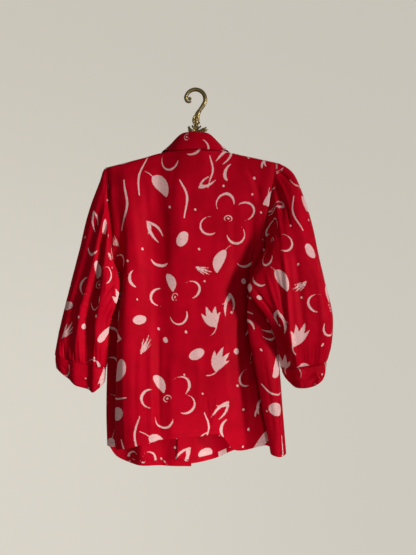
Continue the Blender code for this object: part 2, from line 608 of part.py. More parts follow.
BUTTON_Z = (-226, -318, -410, -502, -594, -686)
for n, z in enumerate(BUTTON_Z, 1):
    column = []
    for row in front_right:
        along = lengths(row)
        column.append((at(row, [13.0])[0], at(row, [19.0])[0], at(row, [7.0])[0]))
    column = np.array(column)
    heights = column[:, 0, 2]
    k = int(np.searchsorted(-heights, -z)) - 1
    t = (heights[k] - z) / (heights[k] - heights[k + 1])
    spot = column[k, 0] * (1 - t) + column[k + 1, 0] * t
    sideways = (column[k, 1] - column[k, 2]) * (1 - t) + (column[k + 1, 1] - column[k + 1, 2]) * t
    lengthways = column[k + 1, 0] - column[k, 0]
    normal = np.cross(sideways, lengthways)
    normal = normal / np.linalg.norm(normal)
    if normal[1] < 0:
        normal = -normal
    button(f"button_{n}", spot + normal * (CLOTH / 2 + 0.9 + BUTTON_T / 2), normal)
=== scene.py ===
"""A woman's printed crepe blouse on a decorative brass hanger, hung with its back to the viewer.

Every panel is a thin sheet lofted through the same named fold lines as the model's solids, in the same frame
(metres, +Z up, the back faces -Y), with finer folds, creases, seams, turned hems and gathers worked on top. The
print is a generic drawing of brushed flowers, leaves and dots, laid on the flat cloth as a repeat.

Tables are millimetres. Creases are written in the frame of the straight view of the back (416 by 555, the same
frame as the picture), because that is where their places are judged.
"""

import math

import bmesh
import bpy
import numpy as np
from mathutils import Matrix, Vector, noise


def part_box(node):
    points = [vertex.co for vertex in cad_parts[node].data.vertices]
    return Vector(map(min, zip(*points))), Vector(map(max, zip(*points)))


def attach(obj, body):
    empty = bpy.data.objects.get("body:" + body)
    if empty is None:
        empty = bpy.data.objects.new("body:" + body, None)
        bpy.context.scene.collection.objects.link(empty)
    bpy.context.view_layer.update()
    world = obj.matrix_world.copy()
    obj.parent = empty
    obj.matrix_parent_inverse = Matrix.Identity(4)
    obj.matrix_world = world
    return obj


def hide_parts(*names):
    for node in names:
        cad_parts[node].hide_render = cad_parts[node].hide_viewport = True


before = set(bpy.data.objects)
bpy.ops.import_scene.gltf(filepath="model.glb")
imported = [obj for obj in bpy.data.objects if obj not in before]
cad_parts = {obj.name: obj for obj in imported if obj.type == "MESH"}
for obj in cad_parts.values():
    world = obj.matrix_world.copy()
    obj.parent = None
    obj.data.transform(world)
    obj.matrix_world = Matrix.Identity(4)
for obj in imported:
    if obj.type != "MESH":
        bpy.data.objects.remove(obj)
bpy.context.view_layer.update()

MM = 0.001

# ------------------------------------------------------------------ sizes
FINE = 20              # points to a span of a section
PACE = 2.15            # distance between the columns and the rows of a panel
SEAM_GAP = 0.12        # a panel stops this far short of a seam line
SEAM_DIP = 1.1         # and dips this far into the seam
HEM = 11.0             # the turned hem
PLACKET = 35.0

SECTION_Z = (-239, -327, -404, -503, -613, -712)
UNDERARM = 5
UNDERARM_ROUND = (12.0, 4.5)
SPAN_LENGTHS = (9, 90, 88, 66, 12, 100, 110, 99, 85)

BACK_LINES = (
    # name             x at each section                            y at each section                  hem z
    ("seam_left",     (-189, -182, -188, -194, -199, -201, -199), (-8, -8, 11, 18, 24, 26, 26), -785),
    ("turn_left",     (-184, -177, -182, -187, -190, -192, -190), (-11, -9, 8, 12, 15, 16, 16), -786),
    ("valley_left",   (-178, -170, -169, -166, -164, -164, -165), (-14, -10, 8, 13, 14, 14, 14), -784),
    ("edge_left",     (-168, -160, -160, -168, -171, -173, -171), (-18, -13, -8, -19, -26, -28, -28), -780),
    ("ridge_left",    (-149, -144, -147, -149, -147, -145, -142), (-25, -27, -29, -37, -44, -48, -48), -771),
    ("flank_left",    (-104, -100, -100, -99, -95, -91, -87), (-15, -14, -17, -25, -33, -38, -40), -759),
    ("crease",        (-84, -83, -83, -83, -79, -78, -78), (-11, -11, -13, -19, -26, -29, -30), -758),
    ("ridge_mid",     (-44, -40, -40, -44, -47, -45, -43), (-21, -22, -22, -24, -28, -31, -32), -756),
    ("centre",        (10, 10, 10, 10, 6, 6, 6), (-19, -18, -18, -19, -22, -24, -25), -753),
    ("plain_right",   (58, 58, 58, 54, 52, 52, 54), (-16, -13, -13, -14, -16, -18, -18), -751),
    ("slope_right",   (97, 92, 88, 87, 90, 94, 86), (-13, -8, -3, -4, -6, -8, -10), -786),
    ("valley_in",     (114, 109, 110, 116, 130, 141, 146), (-11, -5, 8, 11, 13, 13, 13), -784),
    ("valley_foot",   (123, 118, 124, 129, 143, 154, 158), (-10, -2, 16, 18, 19, 19, 19), -784),
    ("valley_out",    (133, 126, 134, 139, 153, 163, 167), (-9, -3, 12, 9, 11, 12, 12), -786),
    ("roll_edge",     (144, 133, 118, 113, 132, 149, 163), (-10, -9, 2, -16, -28, -35, -36), -788),
    ("roll_crest",    (152, 141, 134, 139, 157, 170, 179), (-10, -11, 3, -22, -40, -46, -46), -791),
    ("roll_flank",    (158, 147, 150, 166, 180, 189, 195), (-9, -10, 9, -12, -21, -24, -24), -791),
    ("seam_right",    (164, 152, 160, 178, 187, 193, 197), (-7, -8, 11, 12, 14, 14, 14), -790),
)
FRONT_LEFT_LINES = (
    ("seam_left",     (-189, -182, -188, -194, -199, -201, -199), (9, 12, 11, 18, 24, 26, 26), -785),
    ("turn_left",     (-184, -178, -186, -192, -196, -198, -196), (13, 16, 19, 27, 33, 35, 35), -790),
    ("side_left",     (-170, -166, -172, -178, -181, -182, -180), (18, 20, 26, 36, 40, 41, 41), -814),
    ("ridge_left",    (-146, -146, -148, -152, -153, -151, -150), (22, 26, 32, 40, 43, 43, 42), -829),
    ("dip_left",      (-112, -114, -118, -122, -122, -121, -120), (24, 24, 23, 21, 19, 18, 18), -829),
    ("chest_left",    (-74, -76, -80, -84, -86, -86, -85), (31, 35, 37, 39, 41, 41, 40), -835),
    ("plain_left",    (-36, -40, -42, -44, -48, -50, -48), (33, 35, 35, 35, 35, 34, 34), -835),
    ("edge_left",     (19, 15, 10, 4, -3, -7, -10), (35, 34, 33, 32, 31, 30, 30), -834),
)
FRONT_RIGHT_LINES = (
    ("edge_right",    (-16, -20, -24, -30, -37, -41, -44), (39, 38.5, 38, 38, 37.5, 37, 37), -832),
    ("lap_right",     (19, 15, 10, 4, -3, -7, -10), (39, 38, 37, 36, 35, 34, 34), -829),
    ("chest_right",   (54, 52, 50, 48, 45, 42, 42), (36, 38, 38, 38, 38, 37, 36), -818),
    ("dip_right",     (92, 90, 88, 87, 86, 85, 86), (27, 25, 21, 19, 18, 18, 18), -794),
    ("ridge_right",   (124, 118, 118, 124, 128, 131, 132), (22, 26, 32, 38, 41, 42, 42), -790),
    ("side_right",    (148, 138, 142, 156, 165, 171, 175), (18, 20, 26, 34, 38, 39, 39), -786),
    ("turn_right",    (160, 148, 156, 174, 183, 189, 193), (13, 15, 19, 23, 25, 25, 25), -788),
    ("seam_right",    (164, 152, 160, 178, 187, 193, 197), (8, 11, 11, 12, 14, 14, 14), -790),
)
TOP_BACK = (
    (-193, -1.4, -166), (-160, -1.4, -157.5), (-120, -1.4, -147), (-72, -1.4, -134.5),
    (-62, -8, -132), (-38, -21, -127), (0, -27, -125), (40, -21, -127), (66, -8, -132),
    (76, -1.4, -134.5), (110, -1.4, -141.5), (145, -1.4, -149), (177, -1.4, -156),
)
TOP_FRONT_LEFT = (
    (-193, 1.4, -166), (-160, 1.4, -157.5), (-120, 1.4, -147), (-72, 1.4, -134.5),
    (-62, 9, -138), (-52, 19, -153), (-36, 28, -177), (-10, 34, -199), (21, 36, -208),
)
TOP_FRONT_RIGHT = (
    (-14, 42, -207), (12, 41, -200), (40, 31, -177), (56, 20, -153), (66, 9, -138),
    (76, 1.4, -134.5), (110, 1.4, -141.5), (145, 1.4, -149), (177, 1.4, -156),
)
SHOULDER_ROOF = (5.0, 7.4)

SLEEVE_LIP = 3.0
LEFT_RINGS = (
    (-211, -198,     -170, -408),
    (-237, -270,     -163, -424),
    (-254, -340,     -164, -444),
    (-272, -408,     -172, -474),
    (-287, -468,     -184, -509),
    (-301, -529,     -189, -553),
    (-311, -581,     -193, -606),
)
LEFT_SLEEVE_LINES = (
    # name         share at each ring                      y at each ring                       aside       cuff z
    ("outer",     (0, 0, 0, 0, 0, 0, 0),                 (2, 3, 4, 4, 4, 4, 3),               (0, 0),     -606),
    ("strip",     (.12, .12, .11, .11, .11, .12, .12),   (-10, -13, -13, -13, -12, -11, -9),  (0, 0),     -618),
    ("dip",       (.24, .25, .25, .26, .26, .27, .27),   (-14, -16, -16, -15, -14, -14, -12), (0, 0),     -630),
    ("crest_1",   (.35, .36, .37, .38, .38, .40, .42),   (-22, -27, -30, -31, -30, -28, -22), (0, 0),     -642),
    ("fold",      (.46, .50, .54, .59, .63, .68, .68),   (-18, -19, -20, -19, -16, -14, -18), (0, 0),     -652),
    ("crest_2",   (.56, .60, .64, .69, .72, .77, .78),   (-25, -33, -40, -43, -40, -35, -27), (0, 0),     -657),
    ("flank",     (.78, .82, .86, .88, .90, .91, .90),   (-22, -30, -36, -38, -34, -28, -22), (0, 0),     -648),
    ("inner",     (1, 1, 1, 1, 1, 1, 1),                 (-17, -24, -29, -30, -24, -15, -9),  (0, 0),     -634),
    ("under",     (1.0, .88, .84, .85, .86, .86, .86),   (3, -8, -17, -16, -8, -2, 3),        (-24, -12), -624),
    ("front_in",  (.74, .66, .58, .58, .58, .58, .58),   (12, 7, 0, -1, 3, 7, 9),             (-14, -7),  -620),
    ("front_mid", (.40, .36, .34, .34, .34, .34, .34),   (16, 16, 12, 11, 12, 13, 14),        (-7, 0),    -614),
    ("front_out", (.16, .13, .13, .13, .13, .13, .13),   (12, 14, 15, 15, 15, 15, 12),        (0, 0),     -606),
)
RIGHT_RINGS = (
    (214, -178,      131, -409),
    (236, -226,      117, -421),
    (256, -292,      112, -431),
    (270, -362,      124, -457),
    (285, -430,      150, -492),
    (300, -500,      168, -530),
    (297, -556,      178, -570),
    (289, -592,      187, -606),
)
RIGHT_SLEEVE_LINES = (
    ("outer",     (0, 0, 0, 0, 0, 0, 0, 0),                   (2, 2, 0, -3, -5, -6, -4, -1),          (0, 0),   -606),
    ("out_back",  (.12, .12, .12, .12, .12, .13, .13, .13),   (-18, -32, -42, -49, -53, -52, -45, -31), (0, 0), -630),
    ("plain",     (.30, .30, .30, .31, .34, .38, .38, .36),   (-22, -39, -50, -57, -60, -57, -50, -36), (0, 0), -643),
    ("ridge",     (.44, .46, .50, .56, .67, .80, .80, .72),   (-25, -42, -54, -60, -62, -58, -50, -36), (0, 0), -645),
    ("lee",       (.64, .68, .72, .77, .84, .91, .90, .84),   (-28, -42, -51, -57, -57, -46, -36, -28), (0, 0), -638),
    ("inner",     (1, 1, 1, 1, 1, 1, 1, 1),                   (-18, -30, -41, -47, -45, -36, -26, -12),  (0, 0), -616),
    ("under",     (1.0, .88, .85, .84, .84, .85, .86, .86),   (-5, -16, -29, -35, -34, -24, -13, 0),     (38, 15), -610),
    ("front_in",  (.74, .67, .62, .60, .60, .60, .60, .60),   (12, 4, -8, -16, -18, -9, 1, 8),          (16, 10), -608),
    ("front_mid", (.38, .36, .34, .34, .34, .34, .34, .34),   (16, 14, 8, 2, 1, 4, 8, 11),              (7, 0),  -606),
    ("front_out", (.14, .13, .13, .13, .13, .13, .13, .13),   (12, 14, 13, 12, 11, 10, 10, 10),         (0, 0),  -604),
)
COLLAR_SECTIONS = (
    # place            neck seam            fold                outer edge
    ("centre_back",   (0, -26, -122.0),    (0, -24.5, -95),    (0, -37, -133)),
    ("back_quarter",  (-34, -20, -124.0),  (-26, -18, -96.5),   (-40, -32, -134)),
    ("side_back",     (-54, -10, -127),    (-42, -8, -107),    (-56, -19, -132.5)),
    ("shoulder",      (-61, 0, -129.5),    (-49, 1, -114),     (-70, 0, -129)),
    ("side_front",    (-59, 10, -137),     (-52, 11, -121),    (-81, 19, -140)),
    ("front_quarter", (-46, 26, -160),     (-46, 30, -145),    (-91, 38, -180)),
    ("front_end",     (-1.5, 45, -204),    (-5, 49.5, -199),   (-58, 55, -246)),
)


# ------------------------------------------------------------------ curves
def smooth(points, steps, closed=False, before=None, after=None):
    """Points along a centripetal Catmull-Rom spline, `steps` to a span, at the same parameter for the same index."""
    p = np.asarray(points, float)
    if closed:
        ext = np.vstack([p[-1], p, p[0], p[1]])
    else:
        first = 2 * p[0] - p[1] if before is None else np.asarray(before, float)
        last = 2 * p[-1] - p[-2] if after is None else np.asarray(after, float)
        ext = np.vstack([first, p, last])
    a, b, c, d = ext[:-3], ext[1:-2], ext[2:-1], ext[3:]
    t1 = np.maximum(np.linalg.norm(b - a, axis=1), 1e-6) ** 0.5
    t2 = t1 + np.maximum(np.linalg.norm(c - b, axis=1), 1e-6) ** 0.5
    t3 = t2 + np.maximum(np.linalg.norm(d - c, axis=1), 1e-6) ** 0.5
    t1, t2, t3 = t1[:, None, None], t2[:, None, None], t3[:, None, None]
    a, b, c, d = a[:, None], b[:, None], c[:, None], d[:, None]
    t = t1 + (t2 - t1) * (np.arange(steps) / steps)[None, :, None]
    e = (t1 - t) / t1 * a + t / t1 * b
    f = (t2 - t) / (t2 - t1) * b + (t - t1) / (t2 - t1) * c
    g = (t3 - t) / (t3 - t2) * c + (t - t2) / (t3 - t2) * d
    h = (t2 - t) / t2 * e + t / t2 * f
    j = (t3 - t) / (t3 - t1) * f + (t - t1) / (t3 - t1) * g
    out = ((t2 - t) / (t2 - t1) * h + (t - t1) / (t2 - t1) * j).reshape(-1, p.shape[1])
    return out if closed else np.vstack([out, p[-1]])


def lengths(line):
    return np.concatenate([[0.0], np.cumsum(np.linalg.norm(np.diff(line, axis=0), axis=1))])


def at(line, places):
    along = lengths(line)
    return np.stack([np.interp(places, along, line[:, k]) for k in range(line.shape[1])], axis=1)


def down(stations, steps, gaps=None, start=None):
    """Rows between the stations: a smooth curve down each column, without overshoot. `steps` rows to each span."""
    s = np.asarray(stations, float)
    step = np.linalg.norm(np.diff(s, axis=0), axis=2).mean(axis=1) if gaps is None else np.array(gaps, float)
    slope = np.diff(s, axis=0) / step[:, None, None]
    tangent = np.empty_like(s)
    tangent[0], tangent[-1] = slope[0], slope[-1]
    a, b = slope[:-1], slope[1:]
    wa, wb = step[1:, None, None], step[:-1, None, None]
    mean = (a * wa + b * wb) / (wa + wb)
    limit = 2.5 * np.minimum(np.abs(a), np.abs(b))
    tangent[1:-1] = np.where(a * b > 0, np.sign(mean) * np.minimum(np.abs(mean), limit), mean * 0.15)
    if start is not None:
        tangent[start] = 0.7 * slope[start]
    out = []
    for k, n in enumerate(steps):
        h = step[k]
        for u in np.arange(n) / n:
            out.append(
                (2 * u**3 - 3 * u**2 + 1) * s[k]
                + (u**3 - 2 * u**2 + u) * h * tangent[k]
                + (3 * u**2 - 2 * u**3) * s[k + 1]
                + (u**3 - u**2) * h * tangent[k + 1]
            )
    out.append(s[-1])
    return np.array(out)


def ease(t):
    t = np.clip(t, 0, 1)
    return t * t * (3 - 2 * t)


# ------------------------------------------------------------------ panels
def panel_stations(lines, top, before, after, side):
    """Sections of a body panel, top edge to hem. `side` is -1 for the back and 1 for a front."""
    heights = list(SECTION_Z)
    sections = []
    for k in range(len(heights) + 1):
        z = [row[3] if k == len(heights) else heights[k] for row in lines]
        pts = [(row[1][k], row[2][k], z[i]) for i, row in enumerate(lines)]
        ends = []
        for other, own in ((before, pts[0]), (after, pts[-1])):
            ends.append(None if other is None else (other[1][k], other[2][k], own[2]))
        sections.append(smooth(pts, FINE, before=ends[0], after=ends[1]))
    up, bow = UNDERARM_ROUND
    t = up / (heights[1] - heights[2])
    foot = sections[1] * t + sections[2] * (1 - t)
    for is_seam, from_seam in ((before is not None, lengths(foot)), (after is not None, lengths(foot[::-1])[::-1])):
        if is_seam:
            foot[:, 1] += side * bow * np.clip(1 - from_seam / 22.0, 0, 1) ** 2
    sections.insert(2, foot)
    share = lengths(sections[0])
    share /= share[-1]
    edge = smooth(top, 16)
    first = at(edge, share * lengths(edge)[-1])
    lower, out = SHOULDER_ROOF
    on_arm = np.clip((17.0 - np.abs(first[:, 1])) / 14.0, 0, 1)
    tips = np.clip((np.minimum(share, 1 - share)) / 0.03, 0, 1) if side < 0 else np.ones(len(share))
    second = first + np.stack([0 * on_arm, side * out * on_arm * (0.35 + 0.65 * tips), -lower + 0 * on_arm], 1)
    return np.array([first, second] + sections)


def flat_places(grid, along, zero, top=None):
    """Where each point of a sheet lies on the flat cloth: across from a line of its own, and down from its top edge."""
    down_it = np.concatenate([np.zeros((1, grid.shape[1])),
                              np.cumsum(np.linalg.norm(np.diff(grid, axis=0), axis=2), axis=0)])
    start = -grid[0, :, 2] if top is None else top
    return along - zero, down_it + start


def panel(lines, top, before=None, after=None, side=-1, zero=0.0):
    """A body panel as a fine grid, with the place of each point on the flat cloth. `zero` names the fold line, or the
    share of the width, from which the cloth is measured across."""
    steps = [max(2, round(n / PACE)) for n in SPAN_LENGTHS]
    table = down(panel_stations(lines, top, before, after, side), steps, SPAN_LENGTHS, UNDERARM)
    width = max(lengths(row)[-1] for row in table[:: len(table) // 12])
    cols = int(width / PACE)
    first = SEAM_GAP if before is not None else 0.0
    last = SEAM_GAP if after is not None else 0.0
    grid, along, zeros = [], [], []
    for row in table:
        total = lengths(row)
        places = np.linspace(first, total[-1] - last, cols + 1)
        grid.append(at(row, places))
        along.append(places)
        zeros.append(total[int(zero * (len(total) - 1))])
    grid, along = np.array(grid), np.array(along)
    return grid, flat_places(grid, along, np.array(zeros)[:, None])


# ------------------------------------------------------------------ sleeves
def armhole(side):
    steps = (4, 12, 10, 10, 6, 2, 2, 2, 2)
    if side < 0:
        front = panel_stations(FRONT_LEFT_LINES, TOP_FRONT_LEFT, BACK_LINES[1], None, 1)
    else:
        front = panel_stations(FRONT_RIGHT_LINES, TOP_FRONT_RIGHT, None, BACK_LINES[-2], 1)
    back = panel_stations(BACK_LINES, TOP_BACK, FRONT_LEFT_LINES[1], FRONT_RIGHT_LINES[-2], -1)
    column = 0 if side < 0 else -1
    line = []
    for stations in (back, front):
        q = down(stations, steps, SPAN_LENGTHS, UNDERARM)[:, column]
        line.append(q[q[:, 2] > -404])
    b, f = line
    heights = np.linspace(b[2, 2], -403, 40)
    line = [np.stack([np.interp(-heights, -q[:, 2], q[:, 0]), np.interp(-heights, -q[:, 2], q[:, 1]), heights], 1)
            for q in (b, f)]
    wide = line[1][:, 1] - line[0][:, 1] > 9.0
    low = [q[-1] for q in line]
    tip = (b[0] + f[0]) / 2 + (side * 0.2, 0, 0.6)
    pit = (low[0] + low[1]) / 2 + (side * 4.0, -5.0, -1.0)
    out = (side * 0.2, 0, 0)
    return np.vstack([tip, line[0][wide] + out, pit, (line[1][wide] + out)[::-1]])


def sleeve_rings(side, rings, lines):
    sections = []
    for k, (ox, oz, ix, iz) in enumerate(rings):
        pts = []
        for _, share, y, aside, _ in lines:
            s = share[k]
            stand_off = aside[k] if k < 2 else 0
            pts.append((ox + (ix - ox) * s + stand_off, y[k], oz + (iz - oz) * s))
        sections.append(smooth(pts, FINE, closed=True))
    first = sections[0]
    share = lengths(np.vstack([first, first[:1]]))
    share = share / share[-1]
    ring = armhole(side)
    inner = [row[0] for row in lines].index("inner") * FINE
    pit = int(np.argmin(ring[:, 2]))
    back, front = ring[: pit + 1], np.vstack([ring[pit:], ring[:1]])
    u = share[: inner + 1] / share[inner]
    v = (share[inner:] - share[inner]) / (1 - share[inner])
    down_back = at(back, u * lengths(back)[-1])
    up_front = at(front, v * lengths(front)[-1])
    armhole_ring = np.vstack([down_back, up_front[1:-1]])
    z = armhole_ring[:, 2]
    foot = np.clip((-330 - z) / 55, 0, 1)
    head = np.clip((z + 215) / 50, 0, 1)
    behind = np.clip((inner + 2 * FINE // 6 - np.arange(len(z))) / (4.0 * FINE / 6), 0, 1) * (1 - head)
    lip = armhole_ring + SLEEVE_LIP * np.stack(
        [side * (1 - behind * (0.25 + 0.65 * foot)), -behind * (0.45 + 0.55 * foot), -0.4 * (1 - foot)], 1)
    return np.array([armhole_ring, lip] + sections)


def opened(ring, start):
    """A closed ring cut open at a point of its own, so that it begins and ends there."""
    turned = np.roll(ring, -start, axis=0)
    return np.vstack([turned, turned[:1]])


def sleeve(side):
    """A sleeve, from the armhole to its gathered end, cut open along the seam under the arm."""
    rings, lines = (LEFT_RINGS, LEFT_SLEEVE_LINES) if side < 0 else (RIGHT_RINGS, RIGHT_SLEEVE_LINES)
    stations = sleeve_rings(side, rings, lines)
    gap = np.linalg.norm(np.diff(stations, axis=0), axis=2).mean(axis=1)
    steps = [max(2, round(g / PACE)) for g in gap]
    table = down(stations, steps)
    seam = [row[0] for row in lines].index("under") * FINE
    open_rows = [opened(row, seam) for row in table]
    cols = int(max(lengths(row)[-1] for row in open_rows[::10]) / PACE)
    grid, along = [], []
    for row in open_rows:
        total = lengths(row)[-1]
        places = np.linspace(SEAM_GAP, total - SEAM_GAP, cols + 1)
        grid.append(at(row, places))
        along.append(places - total / 2)
    grid, along = np.array(grid), np.array(along)
    ox, oz, ix, iz = rings[-1]
    axis = np.array([(ox + ix) / 2, 0, (oz + iz) / 2]) - grid[0, cols // 2]
    axis /= np.linalg.norm(axis)
    top = (grid[0] - grid[0, cols // 2]) @ axis
    return grid, flat_places(grid, along, 0.0, top)


def cuff(side):
    """The band below the gathered end; its lower edge slants as the table says."""
    rings, lines = (LEFT_RINGS, LEFT_SLEEVE_LINES) if side < 0 else (RIGHT_RINGS, RIGHT_SLEEVE_LINES)
    end = sleeve_rings(side, rings, lines)[-1]
    middle = end.mean(axis=0)
    ox, oz, ix, iz = rings[-1]
    lower = smooth([(ox + (ix - ox) * row[1][-1], row[2][-1], row[4]) for row in lines], FINE, closed=True)
    seam = [row[0] for row in lines].index("under") * FINE
    rows, grid, along = 12, [], []
    cols = 170
    for k in range(rows + 1):
        t = k / rows
        ring = end * (1 - t) + lower * t
        ring[:, 2] -= 1.2 * (1 - t)
        narrow = 0.965 - 0.03 * t + 0.012 * math.sin(math.pi * t)
        ring[:, 0] = middle[0] + (ring[:, 0] - middle[0]) * narrow
        ring[:, 1] = middle[1] + (ring[:, 1] - middle[1]) * (0.97 + 0.08 * t)
        row = opened(ring, seam)
        total = lengths(row)[-1]
        places = np.linspace(SEAM_GAP, total - SEAM_GAP, cols + 1)
        grid.append(at(row, places))
        along.append(places)
    grid, along = np.array(grid), np.array(along)
    return grid, flat_places(grid, along, 0.0, np.zeros(cols + 1))


def collar():
    """The one-piece collar: up from the neck seam, over the fold and down to the outer edge."""
    left = [tuple(np.array(p, float) for p in row[1:]) for row in COLLAR_SECTIONS]
    right = [tuple(p * (-1, 1, 1) for p in row) for row in left]
    whole = left[::-1] + right[1:]
    cols = 190
    bands = []
    for k in range(3):
        line = smooth([row[k] for row in whole], 16)
        bands.append(at(line, np.linspace(0, lengths(line)[-1], cols + 1)))
    neck, fold, edge = bands
    grid = []
    for i in range(cols + 1):
        n, f, e = neck[i], fold[i], edge[i]
        a, b = (n - f), (e - f)
        la, lb = np.linalg.norm(a), np.linalg.norm(b)
        a, b = a / la, b / lb
        outward = b - a * np.dot(a, b)
        outward /= np.linalg.norm(outward)
        leg = min(3.0, 0.35 * la)
        path = [n, (n + f) / 2, f + a * leg, f - a * 0.6 + outward * 1.5, f + b * 3.0 + outward * 2.6,
                f + (e - f) * 0.6 + outward * 2.2, e]
        line = smooth(path, 12)
        grid.append(at(line, np.linspace(0, lengths(line)[-1], 41)))
    grid = np.array(grid).transpose(1, 0, 2)
    along = np.tile(np.linspace(0, lengths(edge)[-1], cols + 1), (grid.shape[0], 1))
    return grid, flat_places(grid, along, 0.0, np.zeros(cols + 1))


# ------------------------------------------------------------------ working the cloth
def normals_of(grid, toward):
    """Unit normals of a grid, on the side that faces away from `toward`, a point, or along it, a direction of unit length."""
    across = np.gradient(grid, axis=1)
    along = np.gradient(grid, axis=0)
    n = np.cross(along, across)
    n /= np.maximum(np.linalg.norm(n, axis=2, keepdims=True), 1e-9)
    if (n * toward).sum() < 0:
        n = -n
    return n


def seen(x, y, depth=-25.0):
    """Millimetres across and up, for a point of the straight view of the back, on cloth that lies at this Y."""
    s = 2.2 * (1300.0 + depth) / 1300.0
    return 27.7 + (x - 208.0) * s, -409.2 - (y - 277.5) * s


def crease_field(grid, normals, creases, facing=-1, depth=-25.0):
    """How far the listed creases lift the cloth. A row is the crease's points in the straight view, half its width,
    its height (troughs are negative), and the shares of its length over which it rises and dies away."""
    x, z = grid[..., 0], grid[..., 2]
    mask = ease((normals[..., 1] * facing) * 2.5 + 0.5)
    lift = np.zeros(x.shape)
    for points, half, height, rise, fall in creases:
        line = smooth([seen(px, py, depth) for px, py in points], 8)
        total = lengths(line)
        box = (x > line[:, 0].min() - 3 * half) & (x < line[:, 0].max() + 3 * half)
        box &= (z > line[:, 1].min() - 3 * half) & (z < line[:, 1].max() + 3 * half)
        if not box.any():
            continue
        px, pz = x[box], z[box]
        best = np.full(px.shape, 1e9)
        place = np.zeros(px.shape)
        for a, b, s0, s1 in zip(line[:-1], line[1:], total[:-1], total[1:]):
            d = b - a
            t = np.clip(((px - a[0]) * d[0] + (pz - a[1]) * d[1]) / max(d @ d, 1e-9), 0, 1)
            gap = np.hypot(px - a[0] - t * d[0], pz - a[1] - t * d[1])
            near = gap < best
            best = np.where(near, gap, best)
            place = np.where(near, (s0 + t * (s1 - s0)) / total[-1], place)
        taper = ease(place / rise) * ease((1 - place) / fall)
        lift[box] += height * np.exp(-((best / half) ** 2)) * taper
    return lift * mask


def drape_noise(flat, size, amount, seed):
    """Small irregular waves in the cloth, `size` wide and long, on the flat cloth."""
    u, v = flat
    p = np.stack([u / size[0], v / size[1]], axis=-1).reshape(-1, 2)
    values = [noise.noise((float(a), float(b), seed)) for a, b in p]
    return amount * np.array(values).reshape(u.shape)


def dip_edges(grid, normals, left, right, depth=SEAM_DIP, reach=2.6):
    """Bends the side edges of a sheet into its seams."""
    for wanted, cols in ((left, slice(0, 8)), (right, slice(-1, -9, -1))):
        if wanted:
            gaps = np.linalg.norm(np.diff(grid[:, cols], axis=1), axis=2)
            away = np.concatenate([np.zeros((grid.shape[0], 1)), np.cumsum(gaps, axis=1)], axis=1)
            grid[:, cols] -= normals[:, cols] * (depth * np.clip(1 - away / reach, 0, 1) ** 2)[..., None]


def turn_hem(grid, flat, normals, width=HEM, gap=0.9, cols=None):
    """Turns the last rows of a sheet in and up behind it."""
    u, v = flat
    last, n = grid[-1], normals[-1]
    up = grid[-4] - grid[-1]
    up /= np.maximum(np.linalg.norm(up, axis=1, keepdims=True), 1e-9)
    rows, us, vs = [], [], []
    for back, rise in ((0.3, -0.35), (0.75, -0.2), (gap, 0.8), (gap + 0.1, 0.3 * width), (gap + 0.1, 0.65 * width), (gap, width)):
        rows.append(last - n * back + up * rise)
        us.append(u[-1])
        vs.append(v[-1] + back + max(rise, 0))
    return np.vstack([grid, rows]), (np.vstack([u, us]), np.vstack([v, vs]))


def turn_side(grid, flat, normals, width, last=True, gap=0.9):
    """Turns a side edge of a sheet in behind it, as a front edge is."""
    swap = lambda a: a[:, ::-1] if not last else a
    g, n, u, v = swap(grid), swap(normals), swap(flat[0]), swap(flat[1])
    inward = g[:, -4] - g[:, -1]
    inward /= np.maximum(np.linalg.norm(inward, axis=1, keepdims=True), 1e-9)
    sign = 1.0 if u[0, -1] > u[0, -2] else -1.0
    cols, us, vs = [g], [u], [v]
    for back, go in ((0.3, -0.3), (0.75, -0.2), (gap, 0.8), (gap + 0.1, 0.35 * width), (gap + 0.1, 0.7 * width), (gap, width)):
        cols.append((g[:, -1] - n[:, -1] * back + inward * go)[:, None])
        us.append((u[:, -1] + sign * (back + max(go, 0)))[:, None])
        vs.append(v[:, -1][:, None])
    return swap(np.concatenate(cols, 1)), (swap(np.concatenate(us, 1)), swap(np.concatenate(vs, 1)))


# ------------------------------------------------------------------ the print
# A generic drawing: every motif is a set of brush strokes, each a curve with its own radius at each point.
TILE = (430.0, 560.0)


def turned(points, angle, scale, x, y):
    c, s = math.cos(math.radians(angle)), math.sin(math.radians(angle))
    p = np.asarray(points, float) * scale
    return np.stack([x + p[:, 0] * c - p[:, 1] * s, y + p[:, 0] * s + p[:, 1] * c], 1)


def arc_stroke(r, a0, a1, thick, skew=0.5, thin=0.12, n=14, squash=1.0):
    t = np.linspace(0, 1, n)
    a = np.radians(a0 + (a1 - a0) * t)
    pts = np.stack([r * np.cos(a), squash * r * np.sin(a)], 1)
    hump = np.sin(np.pi * t ** (math.log(0.5) / math.log(skew)))
    return pts, thick * (thin + (1 - thin) * np.clip(hump, 0, 1) ** 0.9)


